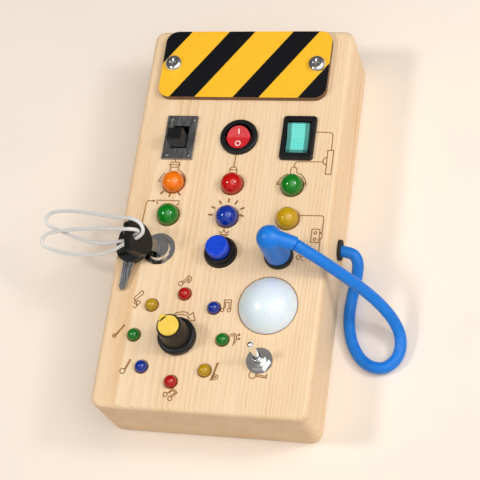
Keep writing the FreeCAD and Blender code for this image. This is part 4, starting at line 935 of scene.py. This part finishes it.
class BUSYBOARD_OT_knob(bpy.types.Operator):
    """Finish the rotary knob with its yellow cap and pointer"""
    bl_idname = "busyboard.knob"
    bl_label = "Rotary knob"

    def execute(self, context):
        dress(black_plastic(), "knob_body")
        # Yellow ABS insert, moulded satin
        yellow = known("moulded_yellow_abs", moulded, colours().yellow_plastic, roughness=0.4, grit=0.4 * MM,
                       depth=0.01 * MM, tone=0.06, IOR=1.53)
        dress(yellow, "knob_cap")
        dress(nickel(), "knob_shaft", "rotary_switch")
        low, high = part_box("knob_cap")
        bm = bmesh.new()
        along, aside = math.cos(POINTER_TURN), math.sin(POINTER_TURN)
        rings = []
        for z, share in ((low.z - POINTER_SINK, 1), (high.z - POINTER_EDGE, 1), (high.z, POINTER_TOP)):
            rings.append([bm.verts.new((KNOB.x + share * (x * along - y * aside) * MM,
                                        KNOB.y + share * (x * aside + y * along) * MM, z))
                          for x, y in POINTER])
        count = len(POINTER)
        for a, b in zip(rings, rings[1:]):
            for k in range(count):
                bm.faces.new((a[k], a[(k + 1) % count], b[(k + 1) % count], b[k]))
        bm.faces.new(rings[-1])
        bm.faces.new(reversed(rings[0]))
        placed("knob_pointer", bm, yellow, "knob")
        return {"FINISHED"}


class BUSYBOARD_OT_back(bpy.types.Operator):
    """Finish the back panel, its screws and the battery compartment"""
    bl_idname = "busyboard.back"
    bl_label = "Back and battery case"

    def execute(self, context):
        # Medium-density fibreboard, sanded: brown felted fibres
        fibreboard = known("sanded_fibreboard", moulded, linear("#A97F57"), roughness=0.75, grit=0.7 * MM,
                           depth=0.05 * MM, tone=0.25)
        dress(fibreboard, "back_panel")
        dress(nickel(), "panel_screws", "battery_door_screw", "battery_contacts")
        dress(black_plastic(), "battery_case", "battery_door")
        # Shrink-wrapped cells, plain grey-blue
        wrap = known("shrink_wrap", moulded, linear("#40506A"), roughness=0.3, grit=0.8 * MM,
                     depth=0.02 * MM, tone=0.15, Coat_Weight=0.3)
        dress(wrap, "battery_cells")
        low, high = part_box("battery_door")
        bm = bmesh.new()
        for i in range(GRIP_COUNT):
            x = low.x + (GRIP_START + GRIP_PITCH * i) * MM
            made = bmesh.ops.create_cube(bm, size=1)["verts"]
            bmesh.ops.scale(bm, verts=made, vec=GRIP_RIB)
            bmesh.ops.translate(bm, verts=made, vec=(x, (low.y + high.y) / 2, low.z))
        bmesh.ops.bevel(bm, geom=list(bm.edges), offset=GRIP_ROUND, segments=2, affect="EDGES")
        placed("door_grip", bm, black_plastic(), "door")
        return {"FINISHED"}


class BUSYBOARD_PT_panel(bpy.types.Panel):
    """The board's pieces, sizes and colours"""
    bl_idname = "BUSYBOARD_PT_panel"
    bl_label = "Busy Board"
    bl_space_type = "VIEW_3D"
    bl_region_type = "UI"
    bl_category = "Busy Board"

    def draw(self, context):
        for operator in OPERATORS:
            self.layout.operator(operator.bl_idname)
        for group in (context.scene.board_sizes, context.scene.board_colours):
            for name in group.__annotations__:
                self.layout.prop(group, name)


OPERATORS = (
    BUSYBOARD_OT_stage, BUSYBOARD_OT_plug, BUSYBOARD_OT_cords, BUSYBOARD_OT_wood, BUSYBOARD_OT_plate,
    BUSYBOARD_OT_slide_switch, BUSYBOARD_OT_rockers, BUSYBOARD_OT_lamps, BUSYBOARD_OT_lock,
    BUSYBOARD_OT_push_button, BUSYBOARD_OT_toggle, BUSYBOARD_OT_knob, BUSYBOARD_OT_back)
CLASSES = (BoardColours, BoardSizes) + OPERATORS + (BUSYBOARD_PT_panel,)


def register():
    for kind in CLASSES:
        bpy.utils.register_class(kind)
    bpy.types.Scene.board_colours = bpy.props.PointerProperty(type=BoardColours)
    bpy.types.Scene.board_sizes = bpy.props.PointerProperty(type=BoardSizes)


def unregister():
    del bpy.types.Scene.board_sizes
    del bpy.types.Scene.board_colours
    for kind in reversed(CLASSES):
        bpy.utils.unregister_class(kind)


def main():
    register()
    for operator in OPERATORS:
        family, action = operator.bl_idname.split(".")
        getattr(getattr(bpy.ops, family), action)()


if __name__ == "__main__":
    main()
